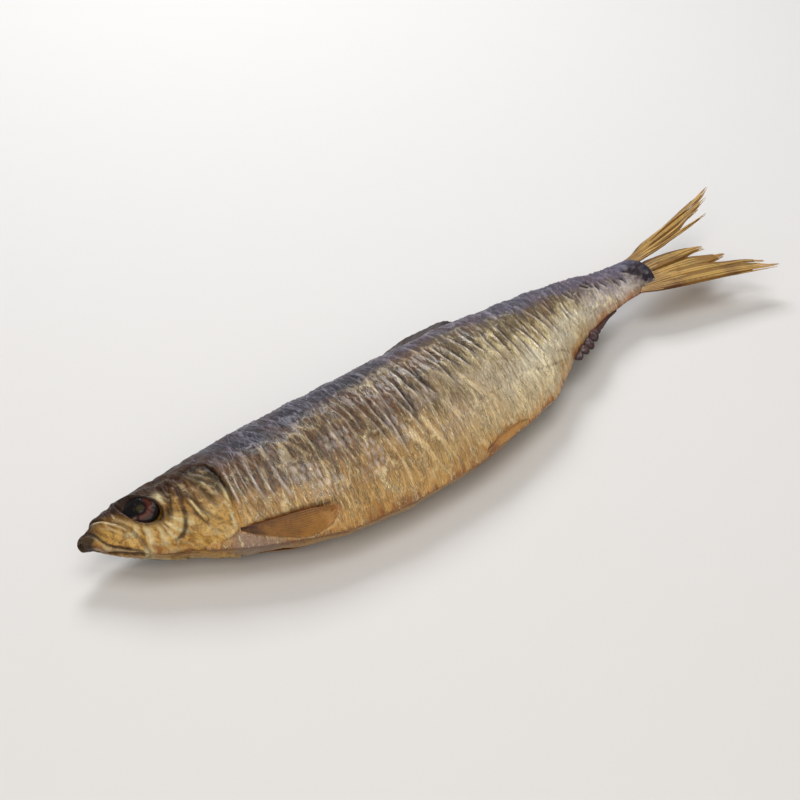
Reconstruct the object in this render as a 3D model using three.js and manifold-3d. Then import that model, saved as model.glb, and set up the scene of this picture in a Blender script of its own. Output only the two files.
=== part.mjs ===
// A whole smoked herring, lying on its right flank.
//
// Millimetres, +Z up. The head points to -X and the tail to +X, the back lies to +Y and the belly
// to -Y, and the left flank is on top. The origin is on the surface that the fish lies on, under
// the middle of its box.
import * as THREE from 'three';
import { mergeVertices } from 'three/addons/utils/BufferGeometryUtils.js';
import Module from 'manifold-3d';

// ---- driving dimensions ----
const bodyLength = 296; // snout to the root of the tail fin
const bodyDepth = 70; // back to keel at the deepest section
const bodyThickness = 40; // flank to flank at the fullest section
const eyeDiameter = 13.6;
const eyeBulge = 1.3; // how far the eyeball stands out of the skin
const eyeSink = 3.6; // how deep it sits under the skin
const finThickness = 1.1; // the upright fins and the tail lobes
const bladeThickness = 0.9; // the paired fins, folded flat on the skin
const pectoralLength = 36;
const pelvicLength = 27;
const dorsalHeight = 10; // how far the folded dorsal fin stands off the back
const dorsalBase = 38; // length of its root along the back
const analBase = 40; // length of the anal fin's root along the keel
const analHeight = 3.4; // how far the folded anal fin stands off the keel
const upperLobeLength = 68.5;
const lowerLobeLength = 62;
const tailSpread = 59; // tip to tip across the two tail lobes
const upperLobeRise = 9.5; // how much the upper lobe lifts from root to tip
const lowerLobeDrop = 2.5; // how much the lower lobe sags from root to tip
const clearance = 0.3; // between pieces that touch

// ---- where things sit, as shares of the body's length from the snout ----
const eyeStation = 0.077;
const pectoralStation = 0.172;
const pelvicStation = 0.536;
const dorsalStation = 0.477;
const analStation = 0.775;

// How far round a flank, as a share of the way from the keel (0) to the back (1).
const eyeTurn = 0.463;

// ---- resolution ----
const stationCount = 54;
const ringCount = 40;

// ---- profiles along the body: [station, value] ----
// The back and the keel, above and below the snout's level, as shares of bodyDepth.
const backLine = smoothLine([
  [0, -0.011], [0.027, 0.046], [0.067, 0.066], [0.134, 0.083], [0.2, 0.125], [0.3, 0.162],
  [0.4, 0.192], [0.5, 0.23], [0.6, 0.264], [0.7, 0.281], [0.8, 0.28], [0.88, 0.266],
  [0.94, 0.24], [1, 0.237],
]);
const keelLine = smoothLine([
  [0, -0.057], [0.017, -0.093], [0.04, -0.173], [0.084, -0.344], [0.134, -0.481],
  [0.2, -0.64], [0.3, -0.786], [0.4, -0.814], [0.5, -0.779], [0.6, -0.686], [0.69, -0.571],
  [0.745, -0.433], [0.79, -0.297], [0.84, -0.194], [0.9, -0.099], [1, -0.044],
]);
// The flank's breadth, as a share of bodyThickness / 2.
const flankLine = smoothLine([
  [0, 0.15], [0.034, 0.38], [0.084, 0.63], [0.168, 0.85], [0.27, 0.965], [0.4, 1],
  [0.54, 0.98], [0.67, 0.797], [0.79, 0.571], [0.88, 0.363], [1, 0.185],
]);
// How high the keel and the back lie above the surface, as shares of bodyThickness.
const keelHeight = smoothLine([[0, 0.375], [0.2, 0.363], [0.4, 0.35], [0.84, 0.363], [1, 0.387]]);
const backHeight = smoothLine([[0, 0.4], [0.2, 0.488], [0.4, 0.512], [0.84, 0.488], [1, 0.475]]);
// The section is fuller towards the back than towards the keel.
const keelPower = 0.64;
const backPower = 0.5;

// A smooth line through [x, y] points that never overshoots them.
function smoothLine(points) {
  const last = points.length - 1;
  const step = points.slice(1).map(([x], i) => x - points[i][0]);
  const rise = points.slice(1).map(([, y], i) => (y - points[i][1]) / step[i]);
  const slope = points.map((point, i) => {
    if (i === 0) return rise[0];
    if (i === last) return rise[last - 1];
    if (rise[i - 1] * rise[i] <= 0) return 0;
    const before = 2 * step[i] + step[i - 1];
    const after = step[i] + 2 * step[i - 1];
    return (before + after) / (before / rise[i - 1] + after / rise[i]);
  });
  return (x) => {
    let i = 0;
    while (i < last - 1 && x > points[i + 1][0]) i += 1;
    const t = (x - points[i][0]) / step[i];
    const bend = t * t * (3 - 2 * t);
    const ease = t * (1 - t);
    const along = slope[i] * (1 - t) - slope[i + 1] * t;
    return points[i][1] * (1 - bend) + points[i + 1][1] * bend + step[i] * ease * along;
  };
}

// The section's breadth at a share of the way up from the keel: 1 where it is widest.
function fullness(share) {
  const widest = keelPower / (keelPower + backPower);
  const peak = widest ** keelPower * (1 - widest) ** backPower;
  return (share ** keelPower * (1 - share) ** backPower) / peak;
}

const backEdge = (station) => backLine(station) * bodyDepth;
const keelEdge = (station) => keelLine(station) * bodyDepth;

// A point of the skin. turn runs from -1 (back, under side) over 0 (keel) to 1 (back, upper side);
// out moves it off the skin. The flank that it lies on is pressed flat at height 0.
function skinPoint(station, turn, out = 0) {
  const share = (1 - Math.cos(Math.PI * turn)) / 2;
  const back = backEdge(station) + out;
  const keel = keelEdge(station) - out;
  const half = (flankLine(station) * bodyThickness) / 2 + out;
  const middle = keelHeight(station) * (1 - share) + backHeight(station) * share;
  const height = middle * bodyThickness + Math.sign(turn) * half * fullness(share);
  return new THREE.Vector3(
    station * bodyLength,
    keel + share * (back - keel),
    Math.max(height, -out),
  );
}

// A closed solid through rings of points, with the two end rings capped.
function loft(rings) {
  const around = rings[0].length;
  const centres = [rings[0], rings.at(-1)].map((ring) => {
    const sum = ring.reduce((total, point) => total.add(point), new THREE.Vector3());
    return sum.divideScalar(around);
  });
  const points = [...rings.flat(), ...centres];
  const firstCentre = points.length - 2;
  const lastCentre = points.length - 1;
  const index = [];
  for (let i = 0; i < rings.length - 1; i += 1) {
    for (let k = 0; k < around; k += 1) {
      const a = i * around + k;
      const b = i * around + ((k + 1) % around);
      index.push(a, b, a + around, b, b + around, a + around);
    }
  }
  const lastRing = (rings.length - 1) * around;
  for (let k = 0; k < around; k += 1) {
    const next = (k + 1) % around;
    index.push(firstCentre, next, k);
    index.push(lastCentre, lastRing + k, lastRing + next);
  }
  const geometry = new THREE.BufferGeometry().setFromPoints(points);
  geometry.setIndex(index);
  return geometry;
}

// Turns a solid the right way out if its volume comes out negative.
function facingOut(geometry) {
  const position = geometry.getAttribute('position');
  const index = geometry.getIndex().array;
  const corner = [new THREE.Vector3(), new THREE.Vector3(), new THREE.Vector3()];
  let volume = 0;
  for (let i = 0; i < index.length; i += 3) {
    corner.forEach((vector, k) => vector.fromBufferAttribute(position, index[i + k]));
    volume += corner[0].dot(corner[1].clone().cross(corner[2]));
  }
  if (volume < 0) geometry.setIndex(Array.from(index).reverse());
  return geometry;
}

// ---- boolean cuts ----
const wasm = await Module();
wasm.setup();

function toSolid(geometry) {
  const bare = geometry.clone();
  bare.deleteAttribute('normal');
  bare.deleteAttribute('uv');
  const merged = mergeVertices(bare, 1e-4);
  return new wasm.Manifold(new wasm.Mesh({
    numProp: 3,
    vertProperties: Float32Array.from(merged.getAttribute('position').array),
    triVerts: Uint32Array.from(merged.getIndex().array),
  }));
}

function toGeometry(solid) {
  const mesh = solid.getMesh();
  const geometry = new THREE.BufferGeometry();
  geometry.setAttribute('position', new THREE.BufferAttribute(mesh.vertProperties, 3));
  geometry.setIndex(new THREE.BufferAttribute(mesh.triVerts, 1));
  return geometry;
}

// ---- body ----
function trunk(out) {
  const overrun = out / bodyLength;
  const rings = [];
  for (let i = 0; i <= stationCount; i += 1) {
    // Stations stand closer together at the snout, where the body changes fastest.
    const even = i / stationCount;
    const station = 0.55 * even + 0.45 * even * even;
    const ring = [];
    for (let k = 0; k < ringCount; k += 1) {
      ring.push(skinPoint(station, (2 * (k + 0.5)) / ringCount - 1, out));
    }
    if (i === 0) ring.forEach((point) => point.setX(-overrun * bodyLength));
    if (i === stationCount) ring.forEach((point) => point.setX((1 + overrun) * bodyLength));
    rings.push(ring);
  }
  return facingOut(loft(rings));
}

// The body with a skin of clearance round it: what is cut out of every fin.
const fittingSpace = toSolid(trunk(clearance));

// ---- eyes ----
// An eyeball flattened along its own axis, set on the skin and looking out along its normal.
function eyeball(turn, grow) {
  const spot = skinPoint(eyeStation, turn);
  const aft = skinPoint(eyeStation + 0.004, turn).sub(spot);
  const upward = skinPoint(eyeStation, turn + 0.02).sub(spot);
  const outward = aft.cross(upward).normalize();
  if (outward.z * Math.sign(turn) < 0) outward.negate();
  const half = (eyeBulge + eyeSink) / 2;
  const geometry = new THREE.SphereGeometry(1, 24, 12);
  geometry.scale(eyeDiameter / 2 + grow, eyeDiameter / 2 + grow, half + grow);
  geometry.applyQuaternion(
    new THREE.Quaternion().setFromUnitVectors(new THREE.Vector3(0, 0, 1), outward),
  );
  const centre = spot.addScaledVector(outward, eyeBulge - half);
  return geometry.translate(centre.x, centre.y, centre.z);
}

// ---- upright fins ----
// A thin plate of the given outline, lying in X and Y at a height that changes along X.
function finPlate(outline, rootX, rootZ, slope) {
  const shape = new THREE.Shape(outline.map(([x, y]) => new THREE.Vector2(x, y)));
  const geometry = new THREE.ExtrudeGeometry(shape, {
    depth: finThickness,
    bevelEnabled: false,
  });
  const position = geometry.getAttribute('position');
  for (let i = 0; i < position.count; i += 1) {
    const lift = rootZ - finThickness / 2 + slope * (position.getX(i) - rootX);
    position.setZ(i, position.getZ(i) + lift);
  }
  return toGeometry(toSolid(geometry).subtract(fittingSpace));
}

// How deep a fin's outline runs into the body before it is cut to fit.
const rootDepth = 3;

function dorsalFin() {
  const start = dorsalStation * bodyLength;
  const back = (x) => backEdge(x / bodyLength);
  const at = (share, height) => {
    const x = start + share * dorsalBase;
    return [x, back(x) + height * dorsalHeight];
  };
  const root = [1, 0.75, 0.5, 0.25, 0].map((share) => {
    const x = start + share * dorsalBase;
    return [x, back(x) - rootDepth];
  });
  const edge = [
    at(0.03, 0.05), at(0.3, 0.45), at(0.56, 0.76), at(0.8, 0.92), at(1.03, 1), at(1.26, 0.99),
    at(1.46, 0.73), at(1.55, 0.5), at(1.3, 0.3), at(1.06, 0.12),
  ];
  const height = backHeight(dorsalStation) * bodyThickness;
  return finPlate([...root, ...edge], start, height, 0);
}

function analFin() {
  const start = analStation * bodyLength;
  const keel = (x) => keelEdge(x / bodyLength);
  const at = (share, drop) => {
    const x = start + share * analBase;
    return [x, keel(x) - drop];
  };
  const edge = [
    at(0, 0.1), at(0.12, 0.6 * analHeight), at(0.37, analHeight), at(0.6, 0.75 * analHeight),
    at(0.8, 0.45 * analHeight), at(1, 0.15 * analHeight),
  ];
  const root = [1, 0.75, 0.5, 0.25, 0].map((share) => at(share, -rootDepth));
  const height = keelHeight(analStation) * bodyThickness;
  return finPlate([...edge, ...root], start, height, 0);
}

// ---- tail fin: two lobes, torn apart down to the root, with frayed strands ----
// Outlines run from the root. The first number is a share of the lobe's length, the second a share
// of half the spread, measured from the middle of the tail's root.
const tailMiddle = (backEdge(1) + keelEdge(1)) / 2;
const tailRootHalf = (backEdge(1) - keelEdge(1)) / 2;
const forkShift = 0.33 * tailRootHalf; // the tear starts above the middle of the root

function lobe(strands, length, rootEdge, middleZ, slope) {
  const half = tailSpread / 2;
  const free = strands.map(([along, across]) => [
    bodyLength + along * length,
    tailMiddle + across * half,
  ]);
  const outline = [...rootEdge.map(([x, y]) => [bodyLength + x, tailMiddle + y]), ...free];
  return finPlate(outline, bodyLength, middleZ, slope);
}

function upperLobe() {
  const rootEdge = [
    [-rootDepth, tailRootHalf - 1.5], [-rootDepth, forkShift + clearance / 2],
    [0.6 * rootDepth, forkShift + clearance / 2],
  ];
  const strands = [
    [0.1, 0.227], [0.33, 0.285], [0.56, 0.33], [0.7, 0.37], [0.8, 0.407], [0.68, 0.415],
    [0.53, 0.4], [0.62, 0.47], [0.756, 0.53], [0.72, 0.56], [0.9, 0.7], [0.87, 0.73], [1, 0.908],
    [0.86, 0.86], [0.68, 0.763], [0.41, 0.6], [0.215, 0.525], [0.07, 0.4], [0, 0.33],
  ];
  const height = (0.25 * keelHeight(1) + 0.75 * backHeight(1)) * bodyThickness;
  return lobe(strands, upperLobeLength, rootEdge, height, upperLobeRise / upperLobeLength);
}

function lowerLobe() {
  const rootEdge = [
    [0.6 * rootDepth, forkShift - clearance / 2], [-rootDepth, forkShift - clearance / 2],
    [-rootDepth, -tailRootHalf],
  ];
  const strands = [
    [-0.17, -0.36], [-0.15, -0.42], [0.005, -0.54], [0.2, -0.65], [0.444, -0.766],
    [0.648, -0.885], [0.84, -0.99], [1, -1.088], [0.94, -0.94], [0.87, -0.78], [0.79, -0.6],
    [0.58, -0.47], [0.36, -0.34], [0.48, -0.375], [0.61, -0.415], [0.735, -0.275], [0.62, -0.19],
    [0.52, -0.112], [0.67, -0.078], [0.62, 0.064], [0.506, 0.176], [0.297, 0.207], [0.1, 0.2],
  ];
  const height = (0.7 * keelHeight(1) + 0.3 * backHeight(1)) * bodyThickness;
  return lobe(strands, lowerLobeLength, rootEdge, height, -lowerLobeDrop / lowerLobeLength);
}

// ---- paired fins, folded back along the skin ----
// lower and upper give the blade's two edges, as turns round the flank, over its length.
function foldedBlade(side, station, length, lower, upper) {
  const steps = 14;
  const across = 5;
  const rings = [];
  for (let i = 0; i <= steps; i += 1) {
    const along = i / steps;
    const place = station + (along * length) / bodyLength;
    const turnAt = (k) => lower(along) + (upper(along) - lower(along)) * (k / across);
    const inner = [];
    const outer = [];
    for (let k = 0; k <= across; k += 1) {
      inner.push(skinPoint(place, side * turnAt(k), clearance));
      outer.push(skinPoint(place, side * turnAt(k), clearance + bladeThickness));
    }
    rings.push([...inner, ...outer.reverse()]);
  }
  return facingOut(loft(rings));
}

function pectoralFin(side) {
  const lower = smoothLine([[0, 0.14], [0.2, 0.09], [0.5, 0.05], [0.75, 0.075], [1, 0.155]]);
  const upper = smoothLine([[0, 0.165], [0.3, 0.195], [0.65, 0.205], [1, 0.18]]);
  return foldedBlade(side, pectoralStation, pectoralLength, lower, upper);
}

function pelvicFin(side) {
  const lower = smoothLine([[0, 0.05], [0.5, 0.035], [1, 0.045]]);
  const upper = smoothLine([[0, 0.075], [0.35, 0.11], [0.7, 0.105], [1, 0.06]]);
  return foldedBlade(side, pelvicStation, pelvicLength, lower, upper);
}

// ---- assembly ----
const skin = new THREE.MeshStandardMaterial({ color: 0x9c8052, roughness: 0.34, metalness: 0.45 });
const eye = new THREE.MeshStandardMaterial({ color: 0x5a3226, roughness: 0.15, metalness: 0 });
const fin = new THREE.MeshStandardMaterial({ color: 0xa66f2c, roughness: 0.5, metalness: 0 });

const fish = new THREE.Group();

function addPiece(name, geometry, material) {
  const mesh = new THREE.Mesh(geometry, material);
  mesh.name = name;
  fish.add(mesh);
}

const leftSocket = toSolid(eyeball(eyeTurn, clearance));
const rightSocket = toSolid(eyeball(-eyeTurn, clearance));
addPiece('body', toGeometry(toSolid(trunk(0)).subtract(leftSocket).subtract(rightSocket)), skin);
addPiece('left_eye', eyeball(eyeTurn, 0), eye);
addPiece('right_eye', eyeball(-eyeTurn, 0), eye);
addPiece('dorsal_fin', dorsalFin(), fin);
addPiece('anal_fin', analFin(), fin);
addPiece('caudal_fin_upper_lobe', upperLobe(), fin);
addPiece('caudal_fin_lower_lobe', lowerLobe(), fin);
addPiece('left_pectoral_fin', pectoralFin(1), fin);
addPiece('right_pectoral_fin', pectoralFin(-1), fin);
addPiece('left_pelvic_fin', pelvicFin(1), fin);
addPiece('right_pelvic_fin', pelvicFin(-1), fin);

// The origin goes under the middle of the whole fish, on the surface that it lies on.
const box = new THREE.Box3().setFromObject(fish);
const middle = box.getCenter(new THREE.Vector3());
fish.position.set(-middle.x, -middle.y, -box.min.z);

export default fish;
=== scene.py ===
"""A whole smoked herring lying on its flank, on a pale studio floor.

The CAD frame gives the size and place of every piece. This file sculpts the skin, the eyes and
the fins over it and gives them their smoked, oily finish.
"""
import math

import bmesh
import bpy
import numpy as np
from mathutils import Matrix, Vector


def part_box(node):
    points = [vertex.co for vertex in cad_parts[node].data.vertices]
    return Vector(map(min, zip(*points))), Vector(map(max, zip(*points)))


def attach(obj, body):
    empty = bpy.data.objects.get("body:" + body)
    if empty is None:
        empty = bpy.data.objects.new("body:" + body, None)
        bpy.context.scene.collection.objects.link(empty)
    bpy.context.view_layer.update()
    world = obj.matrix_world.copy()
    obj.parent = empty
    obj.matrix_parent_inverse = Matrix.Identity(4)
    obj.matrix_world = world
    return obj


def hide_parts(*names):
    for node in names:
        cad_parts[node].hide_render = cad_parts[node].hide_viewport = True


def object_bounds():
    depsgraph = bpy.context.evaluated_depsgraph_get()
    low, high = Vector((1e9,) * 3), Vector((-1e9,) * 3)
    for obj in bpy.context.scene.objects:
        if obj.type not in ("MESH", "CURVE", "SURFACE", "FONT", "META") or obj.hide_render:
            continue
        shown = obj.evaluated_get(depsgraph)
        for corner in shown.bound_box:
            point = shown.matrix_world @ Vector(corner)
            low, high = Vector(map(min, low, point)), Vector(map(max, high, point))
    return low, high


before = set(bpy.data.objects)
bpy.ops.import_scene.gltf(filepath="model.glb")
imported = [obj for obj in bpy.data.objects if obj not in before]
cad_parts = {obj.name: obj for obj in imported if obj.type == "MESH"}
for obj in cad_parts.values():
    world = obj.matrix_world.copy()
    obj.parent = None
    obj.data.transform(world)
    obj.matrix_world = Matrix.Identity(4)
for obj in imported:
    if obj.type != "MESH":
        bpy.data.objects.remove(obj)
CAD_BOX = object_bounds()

bl_info = {
    "name": "Smoked Herring",
    "version": (1, 0, 0),
    "blender": (4, 5, 0),
    "location": "View3D > Sidebar > Herring",
    "description": "Sculpts a whole smoked herring over its CAD frame",
    "category": "Object",
}

MM = 0.001
BODY = "root"

# ---------------------------------------------------------------------------------------------
# The shape of the fish, taken from the frame
# ---------------------------------------------------------------------------------------------

BODY_LOW, BODY_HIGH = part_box("body")
BACK_TOP = 0.281      # highest point of the back line, as a share of the body's depth
KEEL_LOW = 0.814      # lowest point of the keel line
FLANK_SHARE = 0.946   # height of the resting fish, as a share of its full thickness

BODY_LENGTH = (BODY_HIGH.x - BODY_LOW.x) / MM
BODY_DEPTH = (BODY_HIGH.y - BODY_LOW.y) / (BACK_TOP + KEEL_LOW) / MM
BODY_THICKNESS = (BODY_HIGH.z - BODY_LOW.z) / FLANK_SHARE / MM
SNOUT_X = BODY_LOW.x / MM
SNOUT_Y = BODY_LOW.y / MM + KEEL_LOW * BODY_DEPTH
FLOOR_Z = BODY_LOW.z / MM


def smooth_line(*points):
    """A smooth line through (x, y) points that never overshoots them."""
    xs = np.array([p[0] for p in points], float)
    ys = np.array([p[1] for p in points], float)
    step = np.diff(xs)
    rise = np.diff(ys) / step
    slope = np.empty(len(xs))
    slope[0], slope[-1] = rise[0], rise[-1]
    before = 2 * step[1:] + step[:-1]
    after = step[1:] + 2 * step[:-1]
    turning = rise[:-1] * rise[1:] <= 0
    safe_a = np.where(turning, 1, rise[:-1])
    safe_b = np.where(turning, 1, rise[1:])
    slope[1:-1] = np.where(turning, 0, (before + after) / (before / safe_a + after / safe_b))

    def value(x):
        x = np.clip(np.asarray(x, float), xs[0], xs[-1])
        i = np.clip(np.searchsorted(xs, x) - 1, 0, len(xs) - 2)
        t = (x - xs[i]) / step[i]
        bend = t * t * (3 - 2 * t)
        along = slope[i] * (1 - t) - slope[i + 1] * t
        return ys[i] * (1 - bend) + ys[i + 1] * bend + step[i] * t * (1 - t) * along

    return value


back_line = smooth_line(
    (0, -0.011), (0.027, 0.046), (0.067, 0.066), (0.134, 0.083), (0.2, 0.125), (0.3, 0.162),
    (0.4, 0.192), (0.5, 0.23), (0.6, 0.264), (0.7, 0.281), (0.8, 0.28), (0.88, 0.266),
    (0.94, 0.24), (1, 0.237),
)
keel_line = smooth_line(
    (0, -0.057), (0.017, -0.093), (0.04, -0.173), (0.084, -0.344), (0.134, -0.481),
    (0.2, -0.64), (0.3, -0.786), (0.4, -0.814), (0.5, -0.779), (0.6, -0.686), (0.69, -0.571),
    (0.745, -0.433), (0.79, -0.297), (0.84, -0.194), (0.9, -0.099), (1, -0.044),
)
flank_line = smooth_line(
    (0, 0.15), (0.034, 0.38), (0.084, 0.63), (0.168, 0.85), (0.27, 0.965), (0.4, 1),
    (0.54, 0.98), (0.67, 0.797), (0.79, 0.571), (0.88, 0.363), (1, 0.185),
)
keel_height = smooth_line((0, 0.375), (0.2, 0.363), (0.4, 0.35), (0.84, 0.363), (1, 0.387))
back_height = smooth_line((0, 0.4), (0.2, 0.488), (0.4, 0.512), (0.84, 0.488), (1, 0.475))
KEEL_POWER = 0.64     # how sharply the section closes at the keel, and at the back
BACK_POWER = 0.5
WIDEST = KEEL_POWER / (KEEL_POWER + BACK_POWER)


def fullness(share):
    """The section's breadth at a share of the way from keel to back: 1 where it is widest."""
    peak = WIDEST ** KEEL_POWER * (1 - WIDEST) ** BACK_POWER
    return share ** KEEL_POWER * (1 - share) ** BACK_POWER / peak


def skin_point(station, turn, out=0.0):
    """Points of the bare skin in millimetres, in the frame's axes.

    station runs from the snout (0) to the tail's root (1). turn runs from -1 (back, under side)
    over 0 (keel) to 1 (back, upper side). out moves the point off the skin.
    """
    share = (1 - np.cos(np.pi * turn)) / 2
    back = back_line(station) * BODY_DEPTH + out
    keel = keel_line(station) * BODY_DEPTH - out
    half = flank_line(station) * BODY_THICKNESS / 2 + out
    middle = keel_height(station) * (1 - share) + back_height(station) * share
    height = middle * BODY_THICKNESS + np.sign(turn) * half * fullness(share)
    return np.stack([
        SNOUT_X + station * BODY_LENGTH,
        SNOUT_Y + keel + share * (back - keel),
        FLOOR_Z + np.maximum(height, 0),
    ], -1)


def skin_normal(station, turn):
    """The outward direction of the bare skin."""
    small = 0.002
    ahead = np.clip(station - small, 0, 1)
    astern = np.clip(station + small, 0, 1)
    along = skin_point(astern, turn) - skin_point(ahead, turn)
    around = skin_point(station, turn + small) - skin_point(station, turn - small)
    normal = np.cross(along, around)
    length = np.linalg.norm(normal, axis=-1, keepdims=True)
    return normal / np.maximum(length, 1e-9)


def girth_table(stations=240, turns=180):
    """Distance round the flank from the keel, over stations and turns, in millimetres."""
    station = np.linspace(0, 1, stations)[:, None] + np.zeros(turns)
    turn = np.linspace(0, 1, turns)[None, :] + np.zeros((stations, 1))
    steps = np.linalg.norm(np.diff(skin_point(station, turn), axis=1), axis=-1)
    return np.concatenate([np.zeros((stations, 1)), np.cumsum(steps, axis=1)], axis=1)


GIRTH = girth_table()


def girth_at(station, turn):
    """Distance from the keel round the flank to a turn, the same for both flanks."""
    rows, cols = GIRTH.shape
    a = np.clip(np.asarray(station, float), 0, 1) * (rows - 1)
    b = np.clip(np.abs(np.asarray(turn, float)), 0, 1) * (cols - 1)
    i = np.minimum(a.astype(int), rows - 2)
    k = np.minimum(b.astype(int), cols - 2)
    u, v = a - i, b - k
    near = GIRTH[i, k] * (1 - v) + GIRTH[i, k + 1] * v
    far = GIRTH[i + 1, k] * (1 - v) + GIRTH[i + 1, k + 1] * v
    return near * (1 - u) + far * u


# ---------------------------------------------------------------------------------------------
# Sculpting tools
# ---------------------------------------------------------------------------------------------

class Grain:
    """Smooth, repeatable noise between -1 and 1."""

    SIZE = 32

    def __init__(self, seed):
        self.table = np.random.default_rng(seed).uniform(-1, 1, (self.SIZE,) * 3)

    def __call__(self, a, b, c=0.0):
        spots = np.broadcast_arrays(np.asarray(a, float), b, c)
        base = [np.floor(s).astype(int) for s in spots]
        ease = [(s - f) ** 3 * ((s - f) * ((s - f) * 6 - 15) + 10) for s, f in zip(spots, base)]
        total = 0.0
        for i in (0, 1):
            for j in (0, 1):
                for k in (0, 1):
                    weight = 1.0
                    for corner, share in zip((i, j, k), ease):
                        weight = weight * (share if corner else 1 - share)
                    cell = [(f + corner) % self.SIZE for f, corner in zip(base, (i, j, k))]
                    total = total + weight * self.table[cell[0], cell[1], cell[2]]
        return total * 1.6


def soft(distance, width):
    """1 on the line, fading to nothing at about twice the width."""
    return np.exp(-(distance / width) ** 2)


def ramp(value, low, high):
    """0 below low, 1 above high, and smooth between; low may be the greater."""
    t = np.clip((value - low) / (high - low), 0, 1)
    return t * t * (3 - 2 * t)


def window(value, start, full, fade, end):
    """Rises from start to full and falls again from fade to end."""
    return ramp(value, start, full) * ramp(value, end, fade)


STROKE_REACH = 14.0    # millimetres round a stroke in which its distance is worked out
FAR = 99.0             # the distance that stands for anywhere further off


class Stroke:
    """A line drawn on the flank through (millimetres from the snout, turn) points.

    distance is how far each point of the skin is from it, in millimetres. past is the same, but
    below 0 on the snout's side. side is 1 on the tail's side of the line and -1 on the snout's,
    and share is how far along the line the nearest place is.
    """

    def __init__(self, x, girth, *points):
        places = np.array(points, float)
        knots = np.linspace(0, 1, len(places))
        dense = np.linspace(0, 1, 12 * (len(places) - 1) + 1)
        line_x = smooth_line(*zip(knots, places[:, 0]))(dense)
        line_turn = smooth_line(*zip(knots, places[:, 1]))(dense)
        line_g = girth_at(line_x / BODY_LENGTH, line_turn)
        close = (
            (x > line_x.min() - STROKE_REACH) & (x < line_x.max() + STROKE_REACH)
            & (girth > line_g.min() - STROKE_REACH) & (girth < line_g.max() + STROKE_REACH)
        )
        px, pg = x[close][:, None], girth[close][:, None]
        step_x, step_g = np.diff(line_x), np.diff(line_g)
        length = np.maximum(step_x ** 2 + step_g ** 2, 1e-9)
        t = ((px - line_x[:-1]) * step_x + (pg - line_g[:-1]) * step_g) / length
        t = np.clip(t, 0, 1)
        off_x = px - line_x[:-1] - t * step_x
        off_g = pg - line_g[:-1] - t * step_g
        gap = np.hypot(off_x, off_g)
        best = gap.argmin(axis=1)
        row = np.arange(len(best))
        self.distance = np.full(x.shape, FAR)
        self.distance[close] = gap[row, best]
        turned = step_x[best] * off_g[row, best] - step_g[best] * off_x[row, best]
        self.side = np.ones(x.shape)
        self.side[close] = np.sign(turned)
        self.past = self.side * self.distance
        self.share = np.zeros(x.shape)
        self.share[close] = (best + t[row, best]) / len(step_x)

    def ridge(self, width, taper=0.0):
        """A soft ridge along the line, thinning towards its ends."""
        ends = 1.0
        if taper:
            ends = ramp(self.share, 0, taper) * ramp(self.share, 1, 1 - taper)
        return soft(self.distance, width) * ends

    def step(self, width):
        """A ledge: 1 close to the line on the snout's side, 0 past it, fading with width."""
        edge = ramp(self.past, 0.45, -0.25)
        return edge * soft(np.maximum(-self.past, 0), width)

    def beside(self, offset, width):
        """A soft ridge at an offset past the line, or before it where the offset is below 0."""
        return soft(self.past - offset, width)

    def flanks(self, offset, width):
        """Two soft ridges, one on each side of the line."""
        return soft(self.distance - offset, width)


# ---------------------------------------------------------------------------------------------
# The skin's relief and its painted masks
# ---------------------------------------------------------------------------------------------

PECTORAL_LOW = smooth_line((0, 0.16), (0.23, 0.105), (0.6, 0.05), (0.86, 0.1), (1, 0.168))
PECTORAL_HIGH = smooth_line((0, 0.184), (0.3, 0.198), (0.7, 0.214), (1, 0.19))
PELVIC_LOW = smooth_line((0, 0.05), (0.5, 0.035), (1, 0.045))
PELVIC_HIGH = smooth_line((0, 0.08), (0.35, 0.11), (0.7, 0.105), (1, 0.066))
EYE_X, EYE_TURN = 22.7, 0.463
EYE_RADIUS = 6.5
GILL_EDGE = ((33.1, 0.568), (40.5, 0.6), (47.5, 0.602), (51.2, 0.565), (52.2, 0.48),
             (52.6, 0.385), (51.3, 0.285), (50.4, 0.185), (47.0, 0.13), (40.0, 0.07),
             (30.0, 0.03))
MOUTH_LINE = ((0.8, 0.6), (2.6, 0.5), (4.4, 0.38), (6.5, 0.2), (10.0, 0.09), (18.6, 0.03))
MAXILLA_TOP = ((3.0, 0.63), (7.4, 0.56), (11.5, 0.42), (15.3, 0.315), (18.0, 0.18), (20.1, 0.05))
CHEEK_LINE = ((38.6, 0.56), (37.4, 0.48), (36.2, 0.4), (35.6, 0.335), (32.6, 0.203), (28.0, 0.13))
INNER_CHEEK_LINE = ((34.6, 0.54), (33.0, 0.45), (31.1, 0.372), (29.4, 0.28))
OPERCLE_FRONT = ((41.4, 0.573), (40.6, 0.46), (41.0, 0.37), (43.5, 0.285), (47.5, 0.235))
UNDER_OPERCLE = ((38.2, 0.36), (39.6, 0.28), (42.9, 0.198), (47.0, 0.15))
CHEEK_GLINT = ((39.0, 0.42), (39.6, 0.38), (40.3, 0.32), (41.2, 0.272))
FIN_LEDGE = ((50.8, 0.184), (56.0, 0.196), (61.3, 0.205), (75.6, 0.225), (87.0, 0.222))
NOSE_LINE = ((3.5, 0.74), (8.0, 0.66), (13.5, 0.6), (17.5, 0.56))
BROW_LINE = ((14.0, 0.6), (18.0, 0.64), (23.0, 0.655), (29.0, 0.63), (33.0, 0.585))
SKULL_LINE = ((26.0, 0.74), (36.0, 0.7), (44.0, 0.68), (52.0, 0.66))
NOSTRIL = (10.5, 0.66)
COVER_CENTRE = (40.8, 0.6)       # where the gill cover's furrows spread from
CHEEK_SPOT = (30.4, 0.1024, 0.5)   # millimetres from the snout, station and turn
CHIN_SPOT = (20.3, 0.0686, 0.055)
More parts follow.
